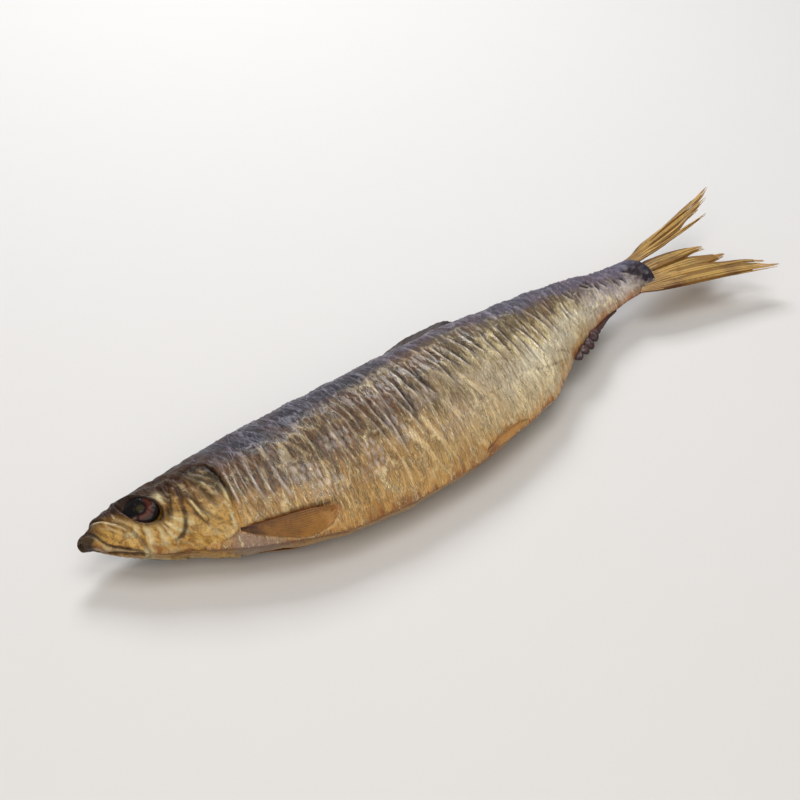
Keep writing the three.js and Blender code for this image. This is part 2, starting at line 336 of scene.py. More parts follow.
NAPE_RIDGES = (
    ((57.6, 0.56), (55.4, 0.46), (54.6, 0.36), (54.9, 0.27)),
    ((60.4, 0.57), (57.9, 0.46), (57.2, 0.36), (57.9, 0.25)),
    ((62.9, 0.575), (60.5, 0.45), (60.2, 0.35), (61.2, 0.25)),
    ((66.2, 0.57), (64.0, 0.46), (63.9, 0.36), (65.0, 0.26)),
    ((69.6, 0.56), (67.4, 0.43), (67.6, 0.33), (69.2, 0.25)),
    ((73.6, 0.55), (71.8, 0.42), (72.4, 0.31), (73.5, 0.26)),
)
UNDER_FIN_TUCK = 0.12   # how much further round the fins under the fish lie
PECTORAL_ROOT, PECTORAL_SPAN = 50.9, 36   # millimetres from the snout, and the fin's length
FOLD_SEED = 19
FOLD_START, FOLD_END = 92.0, 291.0   # millimetres from the snout
FOLD_STEPS = (2.8, 5.6)              # millimetres from one fold to the next
FOLD_LENGTHS = (0.15, 0.34)          # of a turn
RUST_X, VENT_X, ROOT_X = 56.5, 228, 295   # the stained spots, in millimetres from the snout
VENT_LINES = (
    ((227.2, 0.1), (217.0, 0.2), (204.0, 0.27), (190.0, 0.34)),
    ((228.2, 0.12), (223.5, 0.22), (216.0, 0.28)),
)


# The skin's masks, packed up to three to a layer, as a mesh carries only a few layers to a
# render.
MASK_LAYERS = {
    "place_masks": ("reach", "tone"),
    "crease_masks": ("groove_shade", "crest_highlight", "silver"),
    "patch_masks": ("scales", "throat", "rust"),
    "spot_masks": ("pocket", "root_spot", "dark_skull"),
    "bone_masks": ("bone_lines_and_shade", "olive", "pale_bone_and_glints"),
    "zone_masks": ("head", "fold", "rim"),
}

# Where the slate of the back meets the olive flank, as a turn over the stations.
SLATE_EDGE = smooth_line((0, 0.56), (0.2, 0.52), (0.3, 0.57), (0.42, 0.64), (0.6, 0.68),
                         (0.78, 0.57), (0.88, 0.54), (1, 0.5))
SLATE_TONE = 0.58     # the tone that stands for that edge in the colour scales
GOLD_TONE = 0.25      # below this turn the tone is the turn itself


def tone_of(station, level):
    """The turn, stretched so that the slate's edge lies at one tone over the whole length."""
    edge = SLATE_EDGE(station)
    under = GOLD_TONE + (level - GOLD_TONE) * (SLATE_TONE - GOLD_TONE) / (edge - GOLD_TONE)
    over = SLATE_TONE + (level - edge) * (1 - SLATE_TONE) / (1 - edge)
    return np.where(level < GOLD_TONE, level, np.where(level < edge, under, over))


def head_relief(x, girth, turn, grain):
    """Height of the head's bones and edges over the bare skin, and its painted masks."""
    level = np.abs(turn)
    shown = np.where(turn > 0, 1.0, 0.35)
    eye_g = girth_at(EYE_X / BODY_LENGTH, EYE_TURN)
    eye_gap = np.hypot(x - EYE_X, girth - eye_g)
    eye_angle = np.arctan2(girth - eye_g, x - EYE_X)
    gill, mouth, jaw_bone, cheek, inner_cheek, cover, under, glint, nose, brow, skull = (
        Stroke(x, girth, *line) for line in (
            GILL_EDGE, MOUTH_LINE, MAXILLA_TOP, CHEEK_LINE, INNER_CHEEK_LINE, OPERCLE_FRONT,
            UNDER_OPERCLE, CHEEK_GLINT, NOSE_LINE, BROW_LINE, SKULL_LINE))
    behind = gill.side > 0
    lower = mouth.side < 0
    nostril = np.hypot(x - NOSTRIL[0], girth - girth_at(NOSTRIL[0] / BODY_LENGTH, NOSTRIL[1]))
    lumps = 0.5 + 0.5 * grain(x / 1.6, girth / 1.6, 13.0)

    height = np.zeros_like(x)
    # The eye's socket and the swollen rim round it.
    height -= 2.6 * ramp(eye_gap, EYE_RADIUS + 0.3, EYE_RADIUS - 1.4)
    height += 0.95 * soft(eye_gap - EYE_RADIUS - 0.7, 0.9) * shown
    height -= 0.35 * soft(eye_gap - EYE_RADIUS - 2.6, 0.7) * shown
    # The upper jaw's plate stands over the mouth, and the lower jaw closes under it.
    plate = ramp(jaw_bone.past, 0.3, -0.4)
    plate = plate * ramp(mouth.past, -0.3, 0.4)
    plate *= window(x, 2.5, 4.5, 19.5, 21.5)
    height += 0.75 * plate
    height += 0.22 * plate * np.sin(jaw_bone.distance * 2.6 + 0.5 * grain(x / 4, girth / 4))
    height -= 0.45 * jaw_bone.beside(0.7, 0.5) * window(x, 3, 5, 18, 21)
    height -= 1.2 * mouth.ridge(0.5) * ramp(x, 22, 16)
    height += 1.9 * soft(level, 0.2) * window(x, 1.5, 7.0, 20.0, 34.0)
    height += 0.4 * mouth.flanks(1.4, 0.8) * lower * ramp(x, 22, 16)
    height -= 1.3 * ramp(x, 3.6, 1.4) * ramp(level, 0.56, 0.66)
    height -= 0.7 * soft(nostril, 0.8)
    height += 0.35 * nose.ridge(0.7, 0.1) + 0.5 * brow.ridge(0.9, 0.2) * shown
    height += 0.35 * skull.ridge(1.2, 0.2)
    # The cheek: dark curved lines behind the eye, and the fan of struts under it.
    height += 0.5 * cheek.beside(-1.3, 0.9) - 0.5 * cheek.ridge(0.55, 0.1)
    height += 0.3 * inner_cheek.flanks(1.0, 0.6) - 0.45 * inner_cheek.ridge(0.6, 0.2)
    fan = np.sin(eye_angle * 21 + 2.5 * grain(x / 5, girth / 5))
    fan_zone = window(eye_gap, EYE_RADIUS + 1.0, EYE_RADIUS + 2.2, EYE_RADIUS + 7, EYE_RADIUS + 10)
    fan_zone = fan_zone * window(eye_angle, -2.4, -1.9, -0.5, -0.05)
    height += 0.22 * fan * fan_zone
    # The gill cover: a plate with raying furrows, standing over the opening behind it.
    edge_fade = ramp(x, 34, 44) * ramp(level, 0.05, 0.16)
    height += (0.9 * gill.step(8.0) * edge_fade + 0.35 * gill.step(1.2)) * (0.7 + 0.3 * shown)
    height -= 1.1 * gill.flanks(0.5, 0.65) * behind * edge_fade
    height += 0.55 * gill.flanks(2.2, 1.0) * behind * edge_fade
    crown_edge = gill.flanks(0.6, 1.3) * window(level, 0.4, 0.5, 0.66, 0.72)
    height += 1.1 * (lumps - 0.4) * crown_edge
    height += 0.4 * cover.beside(1.0, 0.7) - 0.35 * cover.ridge(0.5, 0.1)
    height += 0.3 * under.beside(0.8, 0.6) - 0.35 * under.ridge(0.5, 0.15)
    height += 0.5 * glint.ridge(0.55, 0.3)
    plate_x = x - COVER_CENTRE[0]
    plate_g = girth - girth_at(COVER_CENTRE[0] / BODY_LENGTH, COVER_CENTRE[1])
    ray_angle = np.arctan2(plate_g, plate_x)
    ray_gap = np.hypot(plate_x, plate_g)
    rays = np.sin(ray_angle * 12 + 1.2 * grain(x / 5, girth / 5, 3.3))
    ray_zone = window(ray_gap, 1.0, 4.0, 15.0, 21.0) * window(ray_angle, -1.5, -1.3, -0.35, 0.0)
    ray_zone = ray_zone * ramp(gill.past, -0.5, -2.5)
    height += 0.26 * rays * ray_zone
    cover_zone = ramp(gill.past, 0.2, -0.8)
    ragged_x = x + 4.0 * grain(x / 7, girth / 4.5, 21.0)
    crown = 0.9 * ramp(level, 0.56, 0.64) * ramp(ragged_x, 60, 42)
    head_zone = np.where(x < 38, 1.0, np.maximum(cover_zone * ramp(x, 56, 51), crown))
    dark_arc = gill.flanks(0.4, 1.7) * window(level, 0.36, 0.5, 0.66, 0.74)
    head_zone = np.maximum(head_zone, ramp(dark_arc, 0.15, 0.5))
    height += 0.2 * grain(x / 2.6, girth / 2.6, 9.0) * head_zone

    cheek_g, chin_g = girth_at(*CHEEK_SPOT[1:]), girth_at(*CHIN_SPOT[1:])
    masks = {
        "head": head_zone,
        # The head's dark bone lines, the dark arc over the gill cover, the ring round the eye and
        # dark streaks in the cover's furrows; with painted shade in the mouth's groove, the groove
        # beside the upper jaw's plate and the slit behind the gill cover.
        "bone_lines_and_shade": np.clip(
            cheek.ridge(0.75, 0.1) * (0.6 + 0.5 * lumps)
            + inner_cheek.ridge(0.9, 0.25) * 0.9 + cover.ridge(0.7, 0.1) * 0.6
            + dark_arc * (0.9 + 0.5 * lumps)
            + gill.flanks(0.4, 0.6) * behind * 0.7 * ramp(level, 0.06, 0.2)
            + mouth.ridge(0.7) * ramp(x, 23, 18)
            + jaw_bone.beside(0.5, 0.6) * 0.7
            + soft(eye_gap - EYE_RADIUS - 0.2, 0.8) * 0.9
            + under.ridge(0.6, 0.2) * 0.4
            + glint.flanks(1.1, 0.5) * 0.6
            + np.clip(-rays, 0, 1) * ray_zone * 0.6
            + soft(nostril, 1.0), 0, 1),
        "olive": window(ray_gap, 0.0, 2.0, 12.0, 17.0) * window(ray_angle, -1.5, -1.1, 0.1, 0.5)
        * cover_zone,
        # Pale bone: the cheek's struts, two pale spots, the gill cover's rim and pale streaks on its
        # rays; with painted highlights: the glossy line over the upper jaw, the lower jaw's edge, the
        # cheek's glint and specks on the dark arc.
        "pale_bone_and_glints": np.clip(
            fan_zone * (0.35 + 0.5 * fan)
            + soft(np.hypot((x - CHEEK_SPOT[0]) / 1.1, (girth - cheek_g) / 2.4), 1.0)
            + soft(np.hypot(x - CHIN_SPOT[0], girth - chin_g), 1.3)
            + jaw_bone.beside(-0.6, 0.35) * window(x, 5, 8, 13, 17) * 0.8
            + mouth.flanks(0.9, 0.4) * lower * window(x, 3, 6, 14, 20) * 0.4
            + glint.ridge(0.45, 0.3)
            + gill.beside(-0.9, 0.6) * window(level, 0.1, 0.18, 0.4, 0.48)
            * (0.25 + 0.6 * lumps)
            + dark_arc * ramp(lumps, 0.8, 1.0) * 0.7
            + np.clip(rays - 0.5, 0, 1) * ray_zone * 0.3, 0, 1),
        "dark_skull": np.clip(
            ramp(level, 0.5, 0.6) * ramp(x, 62, 46)
            + ramp(x, 8.5, 3.5) * ramp(level, 0.08, 0.3) + ramp(x, 5.0, 2.5)
            + soft(eye_gap - EYE_RADIUS, 3.0) * ramp(eye_angle, 0.2, 1.2) * 0.8
            + ramp(eye_gap, EYE_RADIUS + 7, EYE_RADIUS)
            * ramp(np.abs(eye_angle), 2.1, 2.7) * 0.8, 0, 1),
    }
    return height, masks


def flank_relief(x, girth, turn, grain, fine):
    """Creases, folds and scale pockets of the trunk, and its painted masks."""
    level = np.abs(turn)
    upper = turn > 0
    # The two flanks differ, and still meet without a seam at the keel and at the back.
    place = x + 31 * np.where(turn < 0, np.sin(np.pi * level), 0.0)
    trunk = ramp(x, 50, 58)

    # Long folds, painted dark in their floors as shade and painted pale on their lips as highlights,
    # closer and shorter on the stem.
    wander = 2.0 * grain(place / 16, girth / 19, 5.0)
    draw = np.random.default_rng(FOLD_SEED)
    fold, lip = 0.0, 0.0
    start = FOLD_START
    while start < FOLD_END:
        late = ramp(start, 215, 260)
        top = SLATE_EDGE(start / BODY_LENGTH) + draw.uniform(-0.1, 0.03) + 0.05 * late
        long = draw.uniform(*FOLD_LENGTHS) * (1 - 0.35 * late)
        lean, bend = draw.uniform(-1.0, 5.0), draw.uniform(-1.2, 1.2)
        line = Stroke(place + 0.3 * wander, girth, (start, top),
                      (start + lean / 2 + bend, top - long / 2), (start + lean, top - long))
        depth = draw.uniform(0.7, 1.2) * ramp(start, 80, 140)
        fold = np.maximum(fold, depth * line.ridge(0.78, 0.4))
        lip = np.maximum(lip, depth * line.beside(-1.3, 0.5)
                         * ramp(line.share, 0, 0.3) * ramp(line.share, 1, 0.7))
        start += draw.uniform(*FOLD_STEPS) * (1 - 0.3 * late)
    fold = np.clip(fold, 0, 1)
    height = -1.1 * fold + 0.5 * lip

    # A net of fine crests, leaning both ways across the flank.
    nets = []
    for lean, seed in ((0.16, 2.0), (-0.12, 8.0)):
        cross = grain((place + wander * 0.6 + lean * girth) / 2.4, girth / 13, seed)
        patch = ramp(fine(place / 8, girth / 10, seed), -0.5, 0.3)
        nets.append(soft(cross, 0.16) * (0.25 + 0.75 * patch))
    net = np.clip(nets[0] + nets[1], 0, 1.2)
    net_zone = window(level, 0.05, 0.2, 0.78, 0.95) * trunk * ramp(x, 294, 270)
    height += 0.26 * net * net_zone
    back_net = soft(grain((place + 0.3 * girth) / 1.7, girth / 5.5, 7.0), 0.22)
    back_zone = window(level, 0.5, 0.62, 0.9, 1.0) * trunk
    height += 0.42 * back_net * back_zone - 0.28 * trunk
    height += 0.3 * grain(x / 9, girth / 9, 11.0) * trunk

    # Long loose ridges of skin behind the gill cover.
    ridges = 0.0
    for line in NAPE_RIDGES:
        broad = 0.42 + 0.2 * fine(line[0][0], 3.0)
        ridges = ridges + Stroke(x + 0.35 * wander, girth, *line).ridge(broad, 0.35)
    broken = ramp(fine(x / 2.6, girth / 3.4, 2.0), -0.5, 0.3)
    ridges = np.clip(ridges, 0, 1) * (0.45 + 0.55 * broken)
    height += 0.95 * ridges

    # The ledge of skin over the pectoral fin, and the smooth pocket that the fin lies in.
    ledge = Stroke(x, girth, *FIN_LEDGE)
    over = ramp(ledge.past, -0.2, 0.3) * soft(ledge.distance, 4.5)
    along_fin = (x - PECTORAL_ROOT) / PECTORAL_SPAN
    fin_level = level - np.where(turn < 0, UNDER_FIN_TUCK, 0.0)
    in_fin = ramp(fin_level, PECTORAL_LOW(along_fin) - 0.02, PECTORAL_LOW(along_fin) + 0.01)
    in_fin = in_fin * ramp(fin_level, PECTORAL_HIGH(along_fin) + 0.012, PECTORAL_HIGH(along_fin))
    in_fin = in_fin * window(x, 50.5, 52, 86, 90)
    height = height * (1 - in_fin) - 0.95 * in_fin
    height += 0.9 * over * window(x, 50, 53, 84, 93) * upper

    # The vent's thin creases, and the scutes that make a fine saw along the belly.
    vent = 0.0
    for line in VENT_LINES:
        vent = vent + Stroke(x, girth, *line).ridge(0.36, 0.4)
    vent = np.clip(vent, 0, 1)
    height -= 0.4 * vent
    scute = np.abs(((x / 3.7) % 1.0) - 0.35)
    height += 0.4 * soft(girth, 1.6) * (0.6 - scute) * window(x, 70, 90, 215, 226)

    # Scale pockets: tall leaning diamonds in offset rows, plainest on the lower front flank.
    row = girth / 4.6
    column = place / 3.1 + 0.5 * np.floor(row)
    across = np.abs((column % 1.0) - 0.5) * 2
    up = np.abs((row % 1.0) - 0.5) * 2
    diamond = ramp(across + up * 0.6, 1.1, 0.5)
    scale_zone = window(level, 0.2, 0.3, 0.46, 0.56) * window(x, 68, 82, 125, 190)
    patchy = ramp(fine(x / 7, girth / 9, 6.0), -0.35, 0.3)
    height += 0.14 * diamond * scale_zone * patchy
    height = height * trunk

    rust_g = girth_at(RUST_X / BODY_LENGTH, 0.5)
    masks = {
        # Painted shade: the vent's creases, the shadow under the ledge over the breast fin, and the
        # gaps between the net's crests.
        "groove_shade": np.clip(
            vent * 0.55
            + ledge.beside(-0.5, 0.9) * window(x, 50, 52, 80, 92) * upper
            + 0.35 * np.clip(1 - net * 2.2, 0, 1) * net_zone, 0, 1) * trunk,
        # Painted highlights on the crests of the net, the back's wrinkles and the folds' lips.
        "crest_highlight": np.clip(
            net * net_zone * 0.8 + back_net * back_zone * 0.7
            + 0.8 * lip, 0, 1) * (1 - in_fin) * (1 - fold) * trunk,
        "scales": diamond * scale_zone * patchy,
        "throat": window(x, 44, 50, 58, 70) * ramp(level, 0.19, 0.13),
        "rust": soft(np.hypot((x - RUST_X) / 3.2, (girth - rust_g) / 5), 1.0)
        + 0.8 * soft(np.hypot((x - VENT_X) / 4.5, (level - 0.07) / 0.06), 1.0),
        "pocket": in_fin,
        # Painted highlights: near white along the nape ridges and the lips of the folds.
        "silver": np.maximum(ridges, 0.7 * lip * (1 - fold)) * (1 - in_fin),
        # Painted shade in the floors of the long folds.
        "fold": fold * trunk,
        # A painted highlight: a pale line on the skin just under the breast fin's lower edge.
        "rim": soft(fin_level - PECTORAL_LOW(along_fin) + 0.014, 0.012) * window(x, 53, 60, 80, 90)
        * upper,
        "root_spot": soft(np.hypot((x - ROOT_X) / 9.5, (level - 0.42) / 0.32), 1.0)
        * (1.35 + 0.35 * grain(x / 1.5, girth / 1.5, 4.0)),
    }
    return height, masks


# ---------------------------------------------------------------------------------------------
# Mesh tools
# ---------------------------------------------------------------------------------------------

def mesh_from(bm, name):
    """Moves what was modelled into a new mesh."""
    mesh = bpy.data.meshes.new(name)
    bm.to_mesh(mesh)
    bm.free()
    return mesh


def read_points(mesh):
    """Every vertex's place, as an array."""
    flat = np.empty(len(mesh.vertices) * 3)
    mesh.vertices.foreach_get("co", flat)
    return flat.reshape(-1, 3)


def finish_piece(name, mesh, node, material):
    """Links a finished mesh as a piece that stands for a CAD node."""
    piece = bpy.data.objects.new(name, mesh)
    bpy.context.scene.collection.objects.link(piece)
    mesh.materials.append(material)
    mesh.shade_smooth()
    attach(piece, BODY)
    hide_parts(node)
    return piece


def add_layer(mesh, name, values):
    """Stores one number per vertex for the materials to read."""
    layer = mesh.attributes.new(name, "FLOAT", "POINT")
    layer.data.foreach_set("value", np.asarray(values, np.float32))


def add_layers(mesh, name, *values):
    """Stores up to three numbers per vertex as one vector for the materials to read."""
    layer = mesh.attributes.new(name, "FLOAT_VECTOR", "POINT")
    vectors = np.zeros((len(mesh.vertices), 3), np.float32)
    vectors[:, :len(values)] = np.stack(values, -1)
    layer.data.foreach_set("vector", vectors.ravel())


def grid_mesh(name, columns, rows):
    """A flat sheet of squares from -1 to 1, with its UV map, and its vertices' two shares."""
    bm = bmesh.new()
    bm.loops.layers.uv.new("skin_map")
    bmesh.ops.create_grid(bm, x_segments=columns, y_segments=rows, size=1.0, calc_uvs=True)
    mesh = mesh_from(bm, name)
    flat = read_points(mesh)
    return mesh, (flat[:, 0] + 1) / 2, (flat[:, 1] + 1) / 2


def set_points(mesh, points_mm):
    """Puts every vertex where the millimetre points say."""
    mesh.vertices.foreach_set("co", (points_mm * MM).astype(np.float32).ravel())
    mesh.update()


def set_uv(mesh, u, v):
    """Writes a UV map from one (u, v) per vertex of an unwelded sheet."""
    index = np.empty(len(mesh.loops), np.int32)
    mesh.loops.foreach_get("vertex_index", index)
    pairs = np.stack([u[index], v[index]], -1)
    mesh.uv_layers["skin_map"].data.foreach_set("uv", pairs.astype(np.float32).ravel())


def turn_outward(bm):
    """Turns the faces of every closed island so that they look out."""
    bmesh.ops.recalc_face_normals(bm, faces=bm.faces)
    waiting = set(bm.faces)
    while waiting:
        island, rim = [], [waiting.pop()]
        while rim:
            face = rim.pop()
            island.append(face)
            for edge in face.edges:
                for other in edge.link_faces:
                    if other in waiting:
                        waiting.discard(other)
                        rim.append(other)
        swept = sum(f.calc_center_median().dot(f.normal) * f.calc_area() for f in island)
        if swept < 0:
            bmesh.ops.reverse_faces(bm, faces=island)


def weld(mesh, distance_mm=0.002, fill=False):
    """Merges the seams, closes the ends and turns every face outwards."""
    bm = bmesh.new()
    bm.from_mesh(mesh)
    bmesh.ops.remove_doubles(bm, verts=bm.verts, dist=distance_mm * MM)
    if fill:
        rims = [edge for edge in bm.edges if edge.is_boundary]
        filled = bmesh.ops.edgeloop_fill(bm, edges=rims)
        bmesh.ops.poke(bm, faces=filled["faces"])
    bmesh.ops.dissolve_degenerate(bm, dist=1e-7, edges=bm.edges)
    gaps = [edge for edge in bm.edges if edge.is_boundary]
    if gaps:
        bmesh.ops.holes_fill(bm, edges=gaps, sides=0)
    turn_outward(bm)
    bm.to_mesh(mesh)
    bm.free()
    mesh.update()


# ---------------------------------------------------------------------------------------------
# Finishes
# ---------------------------------------------------------------------------------------------

def paint(red, green, blue):
    """A colour given in everyday 0-255 steps, as the shader wants it."""
    steps = []
    for part in (red, green, blue):
        part /= 255
        steps.append(part / 12.92 if part <= 0.04045 else ((part + 0.055) / 1.055) ** 2.4)
    return (*steps, 1.0)


class Nodes:
    """Short ways to add nodes to one tree."""

    def __init__(self, tree):
        self.tree = tree
        self.tree.nodes.clear()

    def put(self, kind, **settings):
        node = self.tree.nodes.new(kind)
        for key, value in settings.items():
            setattr(node, key, value)
        return node

    def wire(self, source, socket):
        """Sets a socket to a number or a colour, or links it to another node's socket."""
        if isinstance(source, bpy.types.NodeSocket):
            self.tree.links.new(source, socket)
        else:
            socket.default_value = source

    def attribute(self, name, socket="Fac"):
        return self.put("ShaderNodeAttribute", attribute_name=name).outputs[socket]

    def object_place(self):
        return self.put("ShaderNodeTexCoord").outputs["Object"]

    def scaled(self, vector, scale):
        node = self.put("ShaderNodeMapping")
        self.wire(vector, node.inputs["Vector"])
        node.inputs["Scale"].default_value = scale
        return node.outputs["Vector"]

    def in_millimetres(self):
        """Object coordinates in millimetres."""
        return self.scaled(self.object_place(), (1 / MM, 1 / MM, 1 / MM))

    def noise(self, vector, scale, detail=3.0, roughness=0.55, distortion=0.0):
        node = self.put("ShaderNodeTexNoise")
        self.wire(vector, node.inputs["Vector"])
        labels = ("Scale", "Detail", "Roughness", "Distortion")
        for label, value in zip(labels, (scale, detail, roughness, distortion)):
            self.wire(value, node.inputs[label])
        return node.outputs["Fac"]

    def sum(self, a, b, operation="ADD", clamp=False):
        node = self.put("ShaderNodeMath", operation=operation, use_clamp=clamp)
        self.wire(a, node.inputs[0])
        self.wire(b, node.inputs[1])
        return node.outputs[0]

    def times(self, a, b):
        return self.sum(a, b, "MULTIPLY")

    def span(self, value, low, high, out_low=0.0, out_high=1.0):
        """Takes low-high smoothly to out_low-out_high, and holds past the ends."""
        node = self.put("ShaderNodeMapRange", interpolation_type="SMOOTHSTEP")
        labels = ("Value", "From Min", "From Max", "To Min", "To Max")
        for label, number in zip(labels, (value, low, high, out_low, out_high)):
            self.wire(number, node.inputs[label])
        return node.outputs["Result"]

    def colours(self, value, *stops):
        """A colour scale of (place, colour) stops."""
        node = self.put("ShaderNodeValToRGB")
        self.wire(value, node.inputs["Fac"])
        scale = node.color_ramp
        scale.interpolation = "EASE"
        while len(scale.elements) < len(stops):
            scale.elements.new(0.5)
        for element, (place, colour) in zip(scale.elements, stops):
            element.position = place
            element.color = colour
        return node.outputs["Color"]

    def blend(self, amount, under, over):
        """Mixes two colours; sockets 0, 6 and 7 are the factor and the colours A and B."""
        node = self.put("ShaderNodeMix", data_type="RGBA")
        for index, source in ((0, amount), (6, under), (7, over)):
            self.wire(source, node.inputs[index])
        return node.outputs[2]

    def cover(self, colour, *layers):
        """Lays (mask, strength, colour) layers over a colour, one after the other."""
        for mask, strength, over in layers:
            colour = self.blend(self.times(mask, strength), colour, over)
        return colour

    def group(self, tree, **values):
        node = self.put("ShaderNodeGroup", node_tree=tree)
        for key, value in values.items():
            self.wire(value, node.inputs[key.replace("_", " ").capitalize()])
        return node.outputs

    def bump(self, height, distance, strength=1.0):
        node = self.put("ShaderNodeBump")
        self.wire(height, node.inputs["Height"])
        node.inputs["Distance"].default_value = distance
        node.inputs["Strength"].default_value = strength
        return node.outputs["Normal"]


class Finish(Nodes):
    """One material with a Principled surface."""

    def __init__(self, name):
        self.material = bpy.data.materials.new(name)
        self.material.use_nodes = True
        super().__init__(self.material.node_tree)
        self.surface = self.put("ShaderNodeBsdfPrincipled")
        output = self.put("ShaderNodeOutputMaterial")
        self.wire(self.surface.outputs["BSDF"], output.inputs["Surface"])

    def set(self, **sources):
        for key, source in sources.items():
            label = key.replace("_", " ").title().replace("Ior", "IOR")
            self.wire(source, self.surface.inputs[label])


def new_group(name, inputs, outputs):
    """An empty node group with named sockets, and the node tools to fill it."""
    tree = bpy.data.node_groups.new(name, "ShaderNodeTree")
    nodes = Nodes(tree)
    for label, kind, default in inputs:
        socket = tree.interface.new_socket(label, in_out="INPUT", socket_type=kind)
        if default is not None:
            socket.default_value = default
    for label, kind in outputs:
        tree.interface.new_socket(label, in_out="OUTPUT", socket_type=kind)
    entry = nodes.put("NodeGroupInput").outputs
    leave = nodes.put("NodeGroupOutput").inputs
    return tree, nodes, entry, leave


def smoke_film():
    """The uneven smoke stain and the fine wrinkling that all the fish's skins share."""
    known = bpy.data.node_groups.get("smoke_film")
    if known:
        return known
    tree, nodes, entry, leave = new_group(
        "smoke_film",
        [("Place", "NodeSocketVector", None), ("Colour", "NodeSocketColor", (1, 1, 1, 1)),
         ("Stain colour", "NodeSocketColor", (0.2, 0.08, 0.02, 1)),
         ("Stain", "NodeSocketFloat", 0.4), ("Wrinkle size", "NodeSocketFloat", 1.0)],
        [("Colour", "NodeSocketColor"), ("Height", "NodeSocketFloat"),
         ("Gloss change", "NodeSocketFloat")],
    )
    blotch = nodes.noise(entry["Place"], 0.055, 4.0, 0.6, 0.4)
    fleck_and_eye_highlight = nodes.noise(entry["Place"], 0.8, 3.0, 0.6)
    amount = nodes.times(nodes.span(blotch, 0.42, 0.72), entry["Stain"])
    stained = nodes.blend(amount, entry["Colour"], entry["Stain colour"])
    flecked = nodes.blend(nodes.span(fleck_and_eye_highlight, 0.4, 0.8, 0.0, 0.26), stained, paint(52, 33, 20))
    size = nodes.times(entry["Wrinkle size"], 1.4)
    wrinkle = nodes.noise(entry["Place"], size, 4.0, 0.62, 0.6)
    nodes.wire(flecked, leave["Colour"])
    nodes.wire(wrinkle, leave["Height"])
    nodes.wire(nodes.span(blotch, 0.3, 0.7, -0.06, 0.1), leave["Gloss change"])
    return tree


def thread_net():
    """Fine pale threads in two leaning sets, which cross into a net over the skin; the skin paints
    them as highlights.
    """
    known = bpy.data.node_groups.get("thread_net")
    if known:
        return known
    tree, nodes, entry, leave = new_group(
        "thread_net", [("Flow", "NodeSocketVector", None)], [("Threads", "NodeSocketFloat")])
    sets = []
    for turned, shift in ((0.16, 0.0), (-0.14, 37.0)):
        leaning = nodes.put("ShaderNodeMapping")
        nodes.wire(entry["Flow"], leaning.inputs["Vector"])
        leaning.inputs["Rotation"].default_value = (0.0, 0.0, turned)
        leaning.inputs["Location"].default_value = (shift, shift, 0.0)
        drawn = nodes.scaled(leaning.outputs["Vector"], (1.0, 0.2, 1.0))
        field = nodes.noise(drawn, 0.42, 2.0, 0.45, 0.5)
        gap = nodes.sum(nodes.sum(field, 0.5, "SUBTRACT"), 0.0, "ABSOLUTE")
        sets.append(nodes.span(gap, 0.034, 0.01))
    nodes.wire(nodes.sum(sets[0], sets[1], "MAXIMUM"), leave["Threads"])
    return tree


